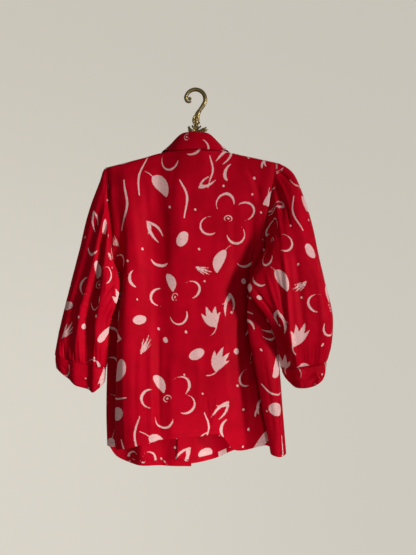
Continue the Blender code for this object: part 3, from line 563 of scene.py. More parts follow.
def flower(x, y, size, turn, petals=5, opening=98, fat=0.066, left_out=(), filled=()):
    """An open flower: a brushed crescent to each petal, and a ringed centre."""
    strokes = []
    for k in range(petals):
        if k in left_out:
            continue
        a = 360 / petals * k + (-7, 5, 9, -4, 3, 0)[k % 6]
        reach = 0.62 * (1.0, 1.10, 0.93, 1.06, 0.97, 1.0)[k % 6]
        if k in filled:
            t = np.linspace(0, 1, 11)
            pts = np.stack([0.26 + 0.62 * t, 0.07 * np.sin(np.pi * t)], 1)
            rad = 0.17 * np.clip(np.sin(np.pi * (0.06 + 0.9 * t**1.15)), 0, 1) ** 0.8
            pts = turned(pts, a, 1.0, 0, 0)
            strokes.append((turned(pts, turn, size, x, y), rad * size, 0.3))
            continue
        pts, rad = arc_stroke(0.36, -opening, opening, fat * (1.0, 0.82, 1.1, 0.9, 1.05, 1.0)[k % 6],
                              skew=(0.66, 0.33, 0.64, 0.40, 0.70, 0.5)[k % 6], squash=0.90, thin=0.16)
        pts = turned(pts, a, 1.0, reach * math.cos(math.radians(a)), reach * math.sin(math.radians(a)))
        strokes.append((turned(pts, turn, size, x, y), rad * size, 0.25))
    pts, rad = arc_stroke(0.105, 30, 330, 0.020, thin=0.5, squash=1.35)
    strokes.append((turned(pts, turn + 30, size, x, y), rad * size, 0.0))
    strokes.append((turned([(0, -0.015), (0, 0.03)], turn + 30, size, x, y), np.array([0.030, 0.026]) * size, 0.0))
    return strokes


def leaf(x, y, size, turn, bend=0.12, fat=0.155, tail=0.32, dry=0.2):
    t = np.linspace(0, 1, 15)
    spine = np.stack([bend * np.sin(np.pi * t), t - 0.5], 1)
    rad = fat * np.clip(np.sin(np.pi * t**0.72), 0, 1) ** 0.85 + 0.006
    out = [(turned(spine, turn, size, x, y), rad * size, dry)]
    if tail:
        t = np.linspace(0, 1, 7)
        line = np.stack([-0.35 * bend * t - bend * t**2, -0.48 - tail * t], 1)
        out.append((turned(line, turn, size, x, y), (0.024 - 0.010 * t) * size, 0.0))
    return out


def bud(x, y, size, turn):
    """A half-open flower: filled petals side by side on a short stalk."""
    out = []
    for a, long, fat in ((-27, 0.86, 0.13), (-5, 1.0, 0.15), (20, 0.9, 0.13), (40, 0.66, 0.09)):
        t = np.linspace(0, 1, 11)
        line = turned(np.stack([0.05 * np.sin(np.pi * t), t * long], 1), a, 1.0, 0, 0)
        rad = fat * np.clip(np.sin(np.pi * (0.10 + 0.88 * t) ** 0.8), 0, 1) + 0.008
        out.append((turned(line, turn, size, x, y), rad * size, 0.55))
    pts, rad = arc_stroke(0.5, 200, 262, 0.028, thin=0.5)
    out.append((turned(pts + (0.42, 0.16), turn, size, x, y), rad * size, 0.0))
    return out


def comma(x, y, size, turn, sweep=112, fat=0.15, skew=0.42):
    pts, rad = arc_stroke(0.5, -sweep / 2, sweep / 2, fat, skew=skew, thin=0.06)
    return [(turned(pts, turn, size, x, y), rad * size, 0.15)]


def fan(x, y, size, turn, blades=((-17, 0.8, 0.036), (-6, 1.0, 0.05), (5, 0.9, 0.042), (17, 0.72, 0.03))):
    """A few dashes of a drying brush, spreading from one place."""
    out = []
    for a, long, fat in blades:
        t = np.linspace(0, 1, 9)
        line = turned(np.stack([0.06 * t**2, 0.10 + t * long], 1), a, 1.0, 0, 0)
        out.append((turned(line, turn, size, x, y), fat * np.clip(np.sin(np.pi * (0.08 + 0.86 * t)), 0, 1) * size + 0.25, 0.9))
    return out


def stem(points, width):
    line = smooth(points, 7)
    t = np.linspace(0, 1, len(line))
    return [(line, width * (0.55 + 0.45 * np.sin(np.pi * t)), 0.1)]


def dots(rows):
    return [(np.array([(x, y), (x + 0.3 * r, y + 0.5 * r)]), np.array([r, 0.92 * r]), 0.0) for x, y, r in rows]


def twig(x, y, size, turn):
    """Three quick strokes that cross at one end."""
    out = []
    for a, long, fat, bend in ((-30, 0.95, 0.050, 0.14), (-8, 1.05, 0.062, -0.10), (24, 0.62, 0.040, 0.10)):
        t = np.linspace(0, 1, 10)
        line = turned(np.stack([bend * np.sin(np.pi * t), -0.12 + long * t], 1), a, 1.0, 0, 0)
        rad = fat * np.clip(np.sin(np.pi * (0.05 + 0.9 * t**0.8)), 0, 1) + 0.008
        out.append((turned(line, turn, size, x, y), rad * size, 0.6))
    return out


def oval(x, y, long, wide, turn):
    t = np.linspace(-1, 1, 9)
    pts = np.stack([0 * t, t * (long - 0.8 * wide) / 2], 1)
    return [(turned(pts, turn, 1.0, x, y), wide / 2 * np.sqrt(1 - (0.62 * t) ** 2), 0.45)]


def print_strokes():
    s = []
    # open flowers
    s += flower(84, 112, 62, 24, petals=5, fat=0.044, filled=(3,))
    s += flower(300, 78, 56, -40, petals=5, left_out=(2,), fat=0.046)
    s += flower(212, 286, 60, 70, petals=4, opening=112, fat=0.044)
    s += flower(372, 412, 54, 10, petals=5, left_out=(0,), filled=(2,), fat=0.046)
    s += flower(96, 452, 58, -16, petals=4, opening=104, fat=0.044, filled=(3,))
    # half-open flowers, broad leaves and ovals
    s += bud(190, 56, 50, 200)
    s += bud(334, 306, 50, -24)
    s += bud(184, 520, 48, 160)
    s += leaf(60, 216, 52, -40, fat=0.27, tail=0.5)
    s += leaf(304, 236, 50, 40, fat=0.26, tail=0.4)
    s += leaf(196, 380, 50, 20, bend=-0.12, fat=0.24)
    s += leaf(402, 58, 52, 24, fat=0.25, tail=0.0)
    s += oval(146, 18, 34, 23, 70)
    s += oval(112, 326, 35, 24, 25)
    s += oval(398, 150, 38, 27, 60)
    s += oval(286, 420, 40, 28, -40)
    s += oval(382, 502, 36, 24, 10)
    s += oval(18, 506, 30, 20, 80)
    # crescents
    s += comma(224, 186, 46, 190, sweep=120, fat=0.075)
    s += comma(310, 158, 46, 208, sweep=128, fat=0.070)
    s += comma(296, 170, 29, 212, sweep=110, fat=0.085)
    s += comma(62, 366, 42, 100, sweep=132, fat=0.075)
    s += comma(252, 372, 48, 76, sweep=136, fat=0.070)
    s += comma(244, 532, 44, 10, sweep=118, fat=0.080)
    s += comma(16, 416, 42, 170, sweep=130, fat=0.075)
    s += comma(326, 548, 44, -60, sweep=126, fat=0.070)
    # dashes of a drying brush
    s += fan(22, 22, 42, 210)
    s += fan(138, 386, 38, 300)
    s += fan(392, 350, 40, 150)
    s += twig(214, 130, 48, 60)
    s += twig(354, 214, 46, 190)
    s += twig(36, 296, 50, -20)
    s += twig(216, 456, 50, 20)
    s += twig(404, 548, 44, 110)
    s += twig(150, 214, 40, 250)
    # long quick strokes
    s += stem([(104, 198), (122, 232), (116, 280)], 2.3)
    s += stem([(408, 204), (420, 258), (402, 312)], 2.5)
    s += stem([(260, 466), (292, 500), (338, 508)], 2.4)
    s += stem([(164, 146), (174, 176), (168, 204)], 1.9)
    s += stem([(366, 104), (388, 118), (424, 112)], 2.0)
    s += stem([(22, 150), (10, 190), (16, 236)], 2.2)
    # dots
    s += dots(((234, 20, 5.6), (238, 96, 2.4), (160, 104, 2.0), (252, 150, 2.6), (266, 196, 2.8), (366, 26, 2.6),
               (376, 160, 1.8), (350, 262, 5.4), (264, 232, 2.2), (140, 262, 2.4), (84, 256, 2.6), (148, 348, 2.4),
               (290, 330, 1.8), (300, 352, 3.0), (22, 352, 2.6), (330, 380, 2.2), (250, 430, 5.6), (160, 420, 2.0),
               (320, 470, 2.8), (12, 462, 1.8), (60, 524, 2.6), (120, 528, 2.8), (76, 546, 5.0), (220, 494, 2.4),
               (290, 532, 1.8), (350, 350, 1.8), (420, 380, 2.4), (284, 272, 2.2), (120, 60, 2.0), (200, 212, 2.2)))
    return s


def ink_field(flat, shift):
    """Distance to the print's edge at each point of the flat cloth, negative inside it, and how dry the brush is."""
    u = np.mod(flat[0].ravel() + shift[0], TILE[0])
    v = np.mod(flat[1].ravel() + shift[1], TILE[1])
    ink = np.full(u.shape, 5.0)
    dry = np.zeros(u.shape)
    for line, rad, dryness in PRINT:
        lo, hi = line.min(0) - rad.max() - 5, line.max(0) + rad.max() + 5
        for ox in (-TILE[0], 0, TILE[0]):
            if hi[0] + ox < 0 or lo[0] + ox > TILE[0]:
                continue
            for oy in (-TILE[1], 0, TILE[1]):
                if hi[1] + oy < 0 or lo[1] + oy > TILE[1]:
                    continue
                pick = np.nonzero((u > lo[0] + ox) & (u < hi[0] + ox) & (v > lo[1] + oy) & (v < hi[1] + oy))[0]
                if not len(pick):
                    continue
                pu, pv = u[pick] - ox, v[pick] - oy
                a, b = line[:-1], line[1:]
                d = b - a
                t = ((pu[:, None] - a[:, 0]) * d[:, 0] + (pv[:, None] - a[:, 1]) * d[:, 1]) / np.maximum((d * d).sum(1), 1e-9)
                t = np.clip(t, 0, 1)
                gap = np.hypot(pu[:, None] - a[:, 0] - t * d[:, 0], pv[:, None] - a[:, 1] - t * d[:, 1])
                gap = (gap - (rad[:-1] + t * (rad[1:] - rad[:-1]))).min(1)
                less = gap < ink[pick]
                ink[pick[less]] = gap[less]
                dry[pick[less]] = dryness
    return ink.reshape(flat[0].shape), dry.reshape(flat[0].shape)


PRINT = print_strokes()


# ------------------------------------------------------------------ making pieces
def make_grid(name, grid, flat, mat, shift=(0.0, 0.0), stitch=None, edge=None):
    """A sheet as a mesh: points in millimetres, with the flat cloth's measures, the print and the stitch lines on it."""
    rows, cols = grid.shape[:2]
    index = np.arange(rows * cols).reshape(rows, cols)
    quads = np.stack([index[:-1, :-1], index[1:, :-1], index[1:, 1:], index[:-1, 1:]], -1).reshape(-1, 4)
    mesh = bpy.data.meshes.new(name)
    mesh.vertices.add(rows * cols)
    mesh.vertices.foreach_set("co", (grid * MM).reshape(-1))
    mesh.loops.add(quads.size)
    mesh.loops.foreach_set("vertex_index", quads.reshape(-1))
    mesh.polygons.add(len(quads))
    mesh.polygons.foreach_set("loop_start", np.arange(0, quads.size, 4))
    mesh.polygons.foreach_set("loop_total", np.full(len(quads), 4))
    mesh.update(calc_edges=True)
    mesh.shade_smooth()
    u, v = flat
    cloth = mesh.attributes.new("cloth", "FLOAT_VECTOR", "POINT")
    cloth.data.foreach_set("vector", (np.stack([u + shift[0], v + shift[1], 0 * u], -1) * MM).reshape(-1))
    ink, dry = ink_field(flat, shift)
    for key, values in (("ink", ink), ("dry", dry), ("stitch", stitch), ("edge", edge)):
        layer = mesh.attributes.new(key, "FLOAT", "POINT")
        layer.data.foreach_set("value", (np.full(u.shape, 9.0) if values is None else values).reshape(-1))
    uv = mesh.uv_layers.new(name="OFBake")
    wide, tall = u.max() - u.min(), v.max() - v.min()
    size = max(wide, tall) * 1.01
    uu, vv = (u - u.min()) / size + 0.004, 1 - (v - v.min()) / size - 0.004
    uv.data.foreach_set("uv", np.stack([uu, vv], -1).reshape(-1, 2)[quads.reshape(-1)].reshape(-1))
    mesh.materials.append(mat)
    obj = bpy.data.objects.new(name, mesh)
    bpy.context.scene.collection.objects.link(obj)
    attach(obj, "root")
    return obj


def edge_distance(flat, rows=None, cols=None):
    """Distance on the flat cloth from a row or a column of the grid."""
    u, v = flat
    return np.abs(v - v[rows][None, :]) if rows is not None else np.abs(u - u[:, cols][:, None])


# ------------------------------------------------------------------ materials
def new_material(name):
    m = bpy.data.materials.new(name)
    m.use_nodes = True
    return m, m.node_tree.nodes, m.node_tree.links, m.node_tree.nodes["Principled BSDF"]


def math_node(nodes, links, op, a, b=None, clamp=False):
    n = nodes.new("ShaderNodeMath")
    n.operation = op
    n.use_clamp = clamp
    for k, value in enumerate((a, b)):
        if value is None:
            continue
        if isinstance(value, (int, float)):
            n.inputs[k].default_value = value
        else:
            links.new(value, n.inputs[k])
    return n.outputs[0]


def attribute(nodes, name, out="Fac"):
    n = nodes.new("ShaderNodeAttribute")
    n.attribute_name = name
    return n.outputs[out]


def noise_node(nodes, links, coords, scale, stretch=(1, 1, 1), detail=2.0, rough=0.5):
    m = nodes.new("ShaderNodeMapping")
    m.inputs["Scale"].default_value = stretch
    links.new(coords, m.inputs["Vector"])
    n = nodes.new("ShaderNodeTexNoise")
    n.inputs["Scale"].default_value = scale
    n.inputs["Detail"].default_value = detail
    n.inputs["Roughness"].default_value = rough
    links.new(m.outputs[0], n.inputs["Vector"])
    return n.outputs["Fac"]


def ramp(nodes, links, value, lo, hi, out_lo=0.0, out_hi=1.0, kind="SMOOTHSTEP"):
    n = nodes.new("ShaderNodeMapRange")
    n.interpolation_type = kind
    n.inputs["From Min"].default_value = lo
    n.inputs["From Max"].default_value = hi
    n.inputs["To Min"].default_value = out_lo
    n.inputs["To Max"].default_value = out_hi
    links.new(value, n.inputs["Value"])
    return n.outputs["Result"]


def mix_colour(nodes, links, fac, a, b):
    n = nodes.new("ShaderNodeMix")
    n.data_type = "RGBA"
    for socket, value in (("A", a), ("B", b)):
        target = [s for s in n.inputs if s.name == socket and s.type == "RGBA"][0]
        if isinstance(value, tuple):
            target.default_value = (*value, 1)
        else:
            links.new(value, target)
    links.new(fac, n.inputs["Factor"])
    return [s for s in n.outputs if s.type == "RGBA"][0]


RED_DEEP, RED_MAIN = (0.41, 0.0003, 0.0105), (0.49, 0.0004, 0.0145)
WHITE_MAIN, WHITE_PINK = (0.80, 0.52, 0.51), (0.66, 0.27, 0.28)


def crepe(name, band=(0.25, 1.1), strength=0.55, dark=(0.22, 0.0005, 0.007), gaps=-0.3):
    """The printed cloth. `band` is the half width of a darker line of stitches, which some materials also use as
    painted shade, and where it has faded out; `gaps` is how far apart the stitches stand, -1 for none."""
    m, nodes, links, shader = new_material(name)
    cloth = attribute(nodes, "cloth", "Vector")
    ink = attribute(nodes, "ink")
    dry = attribute(nodes, "dry")
    wobble = noise_node(nodes, links, cloth, 230, detail=3)
    streak = noise_node(nodes, links, cloth, 1.0, stretch=(1500, 170, 1), detail=2)
    blotch = noise_node(nodes, links, cloth, 22, detail=3)
    slub = noise_node(nodes, links, cloth, 1.0, stretch=(260, 2400, 1), detail=2)
    grain = noise_node(nodes, links, cloth, 2100, detail=2, rough=0.6)
    edge = math_node(nodes, links, "ADD", ink, ramp(nodes, links, wobble, 0.25, 0.75, -0.45, 0.45, "LINEAR"))
    edge = math_node(nodes, links, "ADD", edge, math_node(nodes, links, "MULTIPLY", dry,
                     ramp(nodes, links, streak, 0.3, 0.7, -0.6, 1.3, "LINEAR")))
    mask = ramp(nodes, links, edge, -0.28, 0.22, 0.97, 0.0)
    scratch = math_node(nodes, links, "MULTIPLY", ramp(nodes, links, streak, 0.58, 0.70),
                        math_node(nodes, links, "ADD", math_node(nodes, links, "MULTIPLY", dry, 0.75), 0.22))
    red = mix_colour(nodes, links, ramp(nodes, links, blotch, 0.3, 0.7), RED_DEEP, RED_MAIN)
    red = mix_colour(nodes, links, ramp(nodes, links, slub, 0.55, 0.8, 0.0, 0.35), red, (0.30, 0.0003, 0.007))
    white = mix_colour(nodes, links, ramp(nodes, links, streak, 0.35, 0.75, 0.0, 0.55), WHITE_MAIN, WHITE_PINK)
    mask = math_node(nodes, links, "SUBTRACT", mask, math_node(nodes, links, "MULTIPLY", mask, scratch), clamp=True)
    colour = mix_colour(nodes, links, mask, red, white)
    # a line of stitches dents the cloth, and its thread shows darker; some materials and lines use this darkening as
    # painted shade along a seam or an edge
    stitch = attribute(nodes, "stitch")
    edge_of = attribute(nodes, "edge")
    line = ramp(nodes, links, math_node(nodes, links, "ABSOLUTE", stitch), band[0], band[1], 1.0, 0.0)
    beat = math_node(nodes, links, "SINE", math_node(nodes, links, "MULTIPLY", edge_of, 2 * math.pi / 2.4))
    thread = math_node(nodes, links, "MULTIPLY", line, ramp(nodes, links, beat, gaps - 0.3, gaps + 0.6))
    colour = mix_colour(nodes, links, math_node(nodes, links, "MULTIPLY", thread, strength), colour, dark)
    links.new(colour, shader.inputs["Base Color"])
    rough = ramp(nodes, links, grain, 0.2, 0.8, 0.50, 0.64, "LINEAR")
    links.new(rough, shader.inputs["Roughness"])
    shader.inputs["Specular IOR Level"].default_value = 0.025
    shader.inputs["Sheen Weight"].default_value = 0.02
    shader.inputs["Sheen Roughness"].default_value = 0.4
    shader.inputs["Sheen Tint"].default_value = (1.0, 0.12, 0.16, 1)
    height = math_node(nodes, links, "ADD", math_node(nodes, links, "MULTIPLY", grain, 0.00009),
                       math_node(nodes, links, "MULTIPLY", slub, 0.00006))
    height = math_node(nodes, links, "SUBTRACT", height, math_node(nodes, links, "MULTIPLY", line, 0.00022))
    height = math_node(nodes, links, "ADD", height, math_node(nodes, links, "MULTIPLY", thread, 0.00016))
    bump = nodes.new("ShaderNodeBump")
    bump.inputs["Strength"].default_value = 0.8
    bump.inputs["Distance"].default_value = 1.0
    links.new(height, bump.inputs["Height"])
    links.new(bump.outputs[0], shader.inputs["Normal"])
    return m


def brass(name):
    m, nodes, links, shader = new_material(name)
    tc = nodes.new("ShaderNodeTexCoord").outputs["Object"]
    hollow = attribute(nodes, "hollow")
    patch = noise_node(nodes, links, tc, 240, detail=4, rough=0.6)
    fine = noise_node(nodes, links, tc, 1400, detail=2)
    dark = math_node(nodes, links, "ADD", hollow, ramp(nodes, links, patch, 0.35, 0.75, -0.35, 0.45, "LINEAR"), clamp=True)
    colour = mix_colour(nodes, links, dark, (0.34, 0.255, 0.11), (0.045, 0.032, 0.013))
    links.new(colour, shader.inputs["Base Color"])
    shader.inputs["Metallic"].default_value = 1.0
    links.new(ramp(nodes, links, dark, 0.0, 1.0, 0.36, 0.62, "LINEAR"), shader.inputs["Roughness"])
    bump = nodes.new("ShaderNodeBump")
    bump.inputs["Strength"].default_value = 0.5
    bump.inputs["Distance"].default_value = 1.0
    height = math_node(nodes, links, "ADD", math_node(nodes, links, "MULTIPLY", patch, 0.00035),
                       math_node(nodes, links, "MULTIPLY", fine, 0.00005))
    links.new(height, bump.inputs["Height"])
    links.new(bump.outputs[0], shader.inputs["Normal"])
    return m


def plastic(name):
    m, nodes, links, shader = new_material(name)
    tc = nodes.new("ShaderNodeTexCoord").outputs["Object"]
    cloud = noise_node(nodes, links, tc, 320, detail=3)
    colour = mix_colour(nodes, links, ramp(nodes, links, cloud, 0.3, 0.7), (0.36, 0.004, 0.012), (0.50, 0.010, 0.022))
    links.new(colour, shader.inputs["Base Color"])
    links.new(ramp(nodes, links, cloud, 0.2, 0.8, 0.20, 0.32, "LINEAR"), shader.inputs["Roughness"])
    shader.inputs["Coat Weight"].default_value = 0.3
    shader.inputs["Coat Roughness"].default_value = 0.12
    return m


def thread_material(name):
    m, nodes, links, shader = new_material(name)
    tc = nodes.new("ShaderNodeTexCoord").outputs["Object"]
    ply = noise_node(nodes, links, tc, 2600, detail=2)
    colour = mix_colour(nodes, links, ply, (0.26, 0.002, 0.009), (0.46, 0.006, 0.02))
    links.new(colour, shader.inputs["Base Color"])
    shader.inputs["Roughness"].default_value = 0.55
    return m


CREPE = crepe("printed_crepe")
# painted shade: a wide, near-black line along the left sleeve's armhole seam stands in for the shadow in the gap
# between sleeve and body
SEAM_SHADE = crepe("seam_shade_crepe", (0.9, 1.9), 0.85, (0.06, 0.0004, 0.003), -0.7)
# partly painted shade: the near-black line of the facing's overlocked edge is both thread and the shadow the raised
# edge casts
SERGED_AND_SHADED = crepe("serged_and_shaded_crepe", (1.7, 2.5), 0.95, (0.035, 0.0004, 0.003), -0.85)
BRASS = brass("aged_brass")
BUTTON = plastic("red_button")
THREAD = thread_material("red_thread")


# ------------------------------------------------------------------ creases, from the straight view of the back
# points in the straight view, half width, height (troughs negative), rise, fall
BACK_CREASES = (
    # beside the left armhole the cloth falls away from its seam
    (((108.5, 176), (108, 200), (109, 230), (112, 262)), 10.0, 7.0, 0.2, 0.35),
    # soft folds that fall from the left shoulder and the left shoulder blade
    (((128, 172), (131, 205), (136, 250), (139, 300)), 10, 2.6, 0.3, 0.5),
    (((142, 168), (147, 215), (152, 262)), 9, -2.2, 0.3, 0.5),
    (((158, 184), (163, 215), (164, 252), (160, 292)), 11, -2.4, 0.35, 0.4),
    (((176, 170), (180, 220), (184, 280)), 12, 1.6, 0.3, 0.5),
    # the long folds down the left half
    (((146, 300), (150, 350), (151, 400), (152, 438)), 7, 2.0, 0.4, 0.1),
    (((137, 330), (136, 380), (137, 440)), 6, -1.2, 0.4, 0.1),
    (((125, 330), (124, 380), (126, 446)), 5, 1.3, 0.4, 0.1),
    (((159, 320), (159, 370), (160, 438)), 4, -1.8, 0.3, 0.1),
    (((170, 350), (171, 395), (172, 438)), 8, 1.2, 0.4, 0.1),
    # the plain middle
    (((205, 190), (207, 240), (209, 300)), 14, -1.2, 0.3, 0.5),
    (((206, 394), (208, 412), (211, 430)), 3.2, -1.3, 0.3, 0.3),
    (((217, 396), (215, 412), (212, 430)), 3.2, 1.1, 0.3, 0.3),
    (((189, 385), (198, 383.5), (211, 384.5)), 2.6, -0.8, 0.3, 0.3),
    (((180, 408), (192, 405), (203, 407)), 2.6, 0.7, 0.3, 0.4),
    (((196, 330), (198, 372), (197, 420)), 9, 1.3, 0.3, 0.2),
    (((232, 190), (234, 240), (238, 300), (243, 350)), 9, -1.6, 0.3, 0.4),
    (((222, 330), (227, 380), (233, 440)), 8, 1.3, 0.3, 0.1),
    (((240, 330), (246, 380), (252, 440)), 6, -1.3, 0.3, 0.2),
    # across the shoulders
    (((216, 158), (234, 164), (256, 174)), 6, -1.2, 0.3, 0.4),
    (((120, 172), (142, 166), (166, 160)), 6, -1.0, 0.3, 0.4),
    (((238, 160), (250, 180), (256, 205), (258, 236)), 8, 1.8, 0.2, 0.5),
    (((247, 166), (257, 184), (262, 206)), 5, -1.5, 0.2, 0.4),
)
ROLL_CREASES = (
    (((252, 340), (257, 375), (263, 415), (268, 446)), 5, 1.6, 0.3, 0.2),
    (((263, 350), (268, 390), (274, 440)), 5, -1.6, 0.3, 0.2),
    (((272, 356), (276, 400), (280, 450)), 5, 1.4, 0.3, 0.2),
    (((258, 402), (268, 398), (280, 401)), 3, -1.1, 0.3, 0.3),
    (((262, 424), (272, 420), (283, 424)), 3, 0.9, 0.3, 0.3),
    (((260, 366), (268, 369), (276, 366)), 3, -0.9, 0.3, 0.3),
)
LEFT_SLEEVE_CREASES = (
    # the puckered head
    (((106.5, 168), (102, 176), (99, 192)), 2.8, 1.0, 0.06, 0.6),
    (((107.5, 172), (104, 183), (101, 202)), 2.4, -1.0, 0.06, 0.6),
    (((108, 194), (106, 206), (104.5, 222)), 2.4, 1.2, 0.1, 0.6),
    # long folds down the arm
    (((106.5, 206), (103, 235), (99.5, 264), (98, 300), (96, 330)), 3.0, -3.8, 0.15, 0.3),
    (((93, 225), (87, 250), (81, 285), (77, 330)), 6.0, 1.4, 0.4, 0.4),
    (((86, 262), (79, 296), (73, 335), (68, 358)), 4.5, -2.0, 0.4, 0.2),
    (((99, 236), (95.5, 262), (93, 300), (92, 322)), 4.6, 2.4, 0.3, 0.3),
    (((117, 262), (115, 284), (114, 302)), 3.2, 1.2, 0.3, 0.3),
    (((107, 232), (105.5, 258), (104.5, 292)), 5.0, 2.4, 0.3, 0.4),
    # the crinkled inner side
    (((110, 252), (108, 275), (106, 300)), 3.2, 2.2, 0.3, 0.3),
    (((117, 283), (110, 290), (104, 300)), 2.4, -1.9, 0.2, 0.4),
    (((118, 296), (111, 303), (105, 315)), 2.4, 2.0, 0.2, 0.4),
    (((114, 306), (109, 314), (104, 328)), 2.2, -2.1, 0.2, 0.4),
    (((112, 318), (108, 326), (103, 338)), 2.2, 1.9, 0.2, 0.4),
    (((109, 330), (106, 340), (101, 350)), 2.0, -1.9, 0.2, 0.4),
    (((108, 342), (105, 351), (100, 360)), 2.0, 1.6, 0.2, 0.4),
    # short creases over the elbow
    (((78, 296), (84, 292), (91, 296)), 2.6, -1.6, 0.3, 0.4),
    (((76, 310), (83, 305), (92, 308)), 2.6, 1.6, 0.3, 0.4),
    (((82, 322), (89, 318), (97, 323)), 2.4, -1.5, 0.3, 0.4),
    (((62, 318), (68, 314), (75, 318)), 2.4, -1.3, 0.3, 0.4),
    # gathers above the cuff
    (((57, 332), (57.5, 350), (59, 366)), 2.4, 2.4, 0.6, 0.04),
    (((61.5, 338), (62.5, 354), (64.5, 368)), 2.0, -3.0, 0.6, 0.04),
    (((66, 330), (68, 350), (70, 370)), 2.4, 2.6, 0.6, 0.04),
    (((72.5, 338), (73.5, 356), (75, 374)), 2.0, -2.8, 0.6, 0.04),
    (((79, 326), (79, 350), (80, 376)), 2.6, 2.8, 0.6, 0.04),
    (((85, 334), (84.5, 355), (85, 380)), 2.0, -3.2, 0.6, 0.04),
    (((91, 324), (90, 350), (90.5, 382)), 2.6, 3.0, 0.6, 0.04),
    (((97, 330), (95.5, 352), (95.5, 380)), 2.0, -3.0, 0.6, 0.04),
    (((103, 334), (101, 354), (100.5, 376)), 2.2, 2.2, 0.6, 0.04),
    (((108, 336), (106.5, 350), (105, 366)), 1.8, -1.8, 0.6, 0.04),
)
LEFT_CUFF_CREASES = (
    (((66, 378), (76, 374), (86, 379)), 2.2, 1.5, 0.3, 0.4),
    (((72, 383), (82, 380), (92, 386)), 2.0, -1.4, 0.3, 0.4),
    (((57, 366), (62, 369), (66, 375)), 2.0, -1.3, 0.3, 0.4),
    (((88, 386), (95, 380), (102, 382)), 2.0, 1.6, 0.3, 0.4),
    (((95, 391), (99, 384), (104, 379)), 1.8, -1.5, 0.3, 0.4),
)
RIGHT_CUFF_CREASES = (
    (((299, 366), (300, 376), (299, 388)), 6.0, 3.4, 0.1, 0.2),
    (((289, 366), (291, 375), (294, 385)), 6.5, -3.6, 0.1, 0.3),
    (((296, 375), (305, 377), (314, 374)), 3.2, -3.4, 0.3, 0.3),
    (((298, 384), (306, 380), (314, 383)), 3.0, 3.0, 0.3, 0.4),
    (((308, 386), (315, 379), (322, 373)), 2.8, -3.2, 0.2, 0.3),
    (((313, 371), (317, 376), (318, 382)), 2.6, 2.6, 0.3, 0.4),
    (((294, 374), (300, 379), (304, 387)), 2.6, -2.8, 0.3, 0.3),
)
LEFT_SLEEVE_INSIDE = (
    (((60, 320), (61, 345), (63, 366)), 3.2, 2.0, 0.5, 0.05),
    (((70, 325), (71, 350), (72, 370)), 3.0, -2.0, 0.5, 0.05),
    (((78, 315), (79, 345), (80, 374)), 3.4, 2.2, 0.5, 0.05),
    (((88, 325), (88, 350), (88, 378)), 3.0, -2.0, 0.5, 0.05),
    (((97, 318), (96, 345), (96, 378)), 3.2, 2.0, 0.5, 0.05),
    (((96, 190), (90, 240), (84, 290), (80, 330)), 7, 2.0, 0.3, 0.4),
    (((104, 220), (98, 270), (92, 320)), 6, -1.8, 0.3, 0.4),
    (((86, 230), (78, 285), (70, 335)), 6, -1.6, 0.3, 0.4),
)
RIGHT_SLEEVE_CREASES = (
    # the lit face ends in a fold, and the side under it turns away into shade
    (((283, 322), (289, 340), (294, 356), (298, 373)), 7.0, 5.6, 0.3, 0.05),
    (((274, 328), (280, 345), (286, 360), (290, 374)), 9.0, -7.0, 0.3, 0.05),
    # pleats fanning from the armhole seam
    (((275, 165), (281, 170), (288, 177), (294, 187)), 3.4, -5.2, 0.06, 0.5),
    (((276, 162), (285, 166), (294, 175), (300, 190)), 4.2, 2.6, 0.15, 0.5),
    (((273, 170), (279, 179), (285, 192), (290, 214)), 3.8, 3.4, 0.08, 0.5),
    (((272, 177), (277, 187), (281, 200), (284, 222)), 2.8, -4.4, 0.06, 0.5),
    (((271, 183), (276, 198), (279, 220), (281, 250)), 3.8, 3.6, 0.10, 0.5),
    (((270, 192), (272.5, 210), (273, 236)), 2.6, -3.0, 0.10, 0.5),
    (((268, 206), (268.5, 226), (265, 248)), 3.0, 2.2, 0.2, 0.5),
    (((266, 222), (263, 240), (258, 262)), 2.6, -1.8, 0.2, 0.5),
    # the creased face of the sleeve
    (((284, 196), (287, 212), (289.5, 232)), 2.6, -4.2, 0.25, 0.5),
    (((280, 236), (284, 280), (287, 320), (291, 356)), 5.5, 5.0, 0.3, 0.25),
    (((291, 236), (296, 280), (300, 318), (303, 350)), 8, -3.6, 0.3, 0.3),
    (((300, 206), (306, 240), (310, 270)), 6, -1.8, 0.3, 0.5),
    (((311, 240), (317, 290), (321, 340)), 7, 2.2, 0.3, 0.3),
    (((262, 262), (270, 292), (281, 324), (289, 352)), 4.5, 2.4, 0.3, 0.3),
    (((272, 262), (279, 296), (286, 330)), 3.6, -2.6, 0.3, 0.4),
    (((250, 284), (262, 300), (274, 318), (285, 340)), 3.0, -2.4, 0.2, 0.2),
    (((300, 300), (309, 296), (319, 299)), 3.4, -1.4, 0.3, 0.4),
    (((292, 326), (302, 321), (314, 325)), 3.0, 1.2, 0.3, 0.4),
    # gathers above the cuff
    (((296, 336), (298, 354), (299.5, 371)), 2.4, 1.0, 0.6, 0.04),
    (((301, 344), (302.5, 358), (303.5, 371)), 2.0, -1.0, 0.6, 0.04),
    (((306, 334), (307.5, 353), (308, 370)), 2.6, 1.0, 0.6, 0.04),
    (((312, 342), (313, 357), (312.5, 369)), 2.0, -1.0, 0.6, 0.04),
    (((319, 332), (318.5, 351), (317.5, 367)), 2.6, 1.0, 0.6, 0.04),
    (((324.5, 340), (323.5, 353), (322, 364)), 2.0, -0.8, 0.6, 0.04),
    (((288, 336), (291, 350), (294, 364)), 2.4, -0.9, 0.6, 0.04),
)
RIGHT_SLEEVE_INSIDE = (
    (((290, 335), (293, 352), (296, 372)), 3.2, 2.0, 0.5, 0.05),
    (((299, 330), (301, 350), (303, 371)), 3.2, -2.0, 0.5, 0.05),
    (((309, 326), (310, 348), (311, 370)), 3.2, 2.2, 0.5, 0.05),
    (((318, 330), (318, 350), (318, 366)), 3.0, -1.8, 0.5, 0.05),
    (((290, 190), (300, 240), (306, 300)), 8, 2.2, 0.3, 0.4),
    (((280, 200), (288, 260), (296, 320)), 8, -2.0, 0.3, 0.4),
)
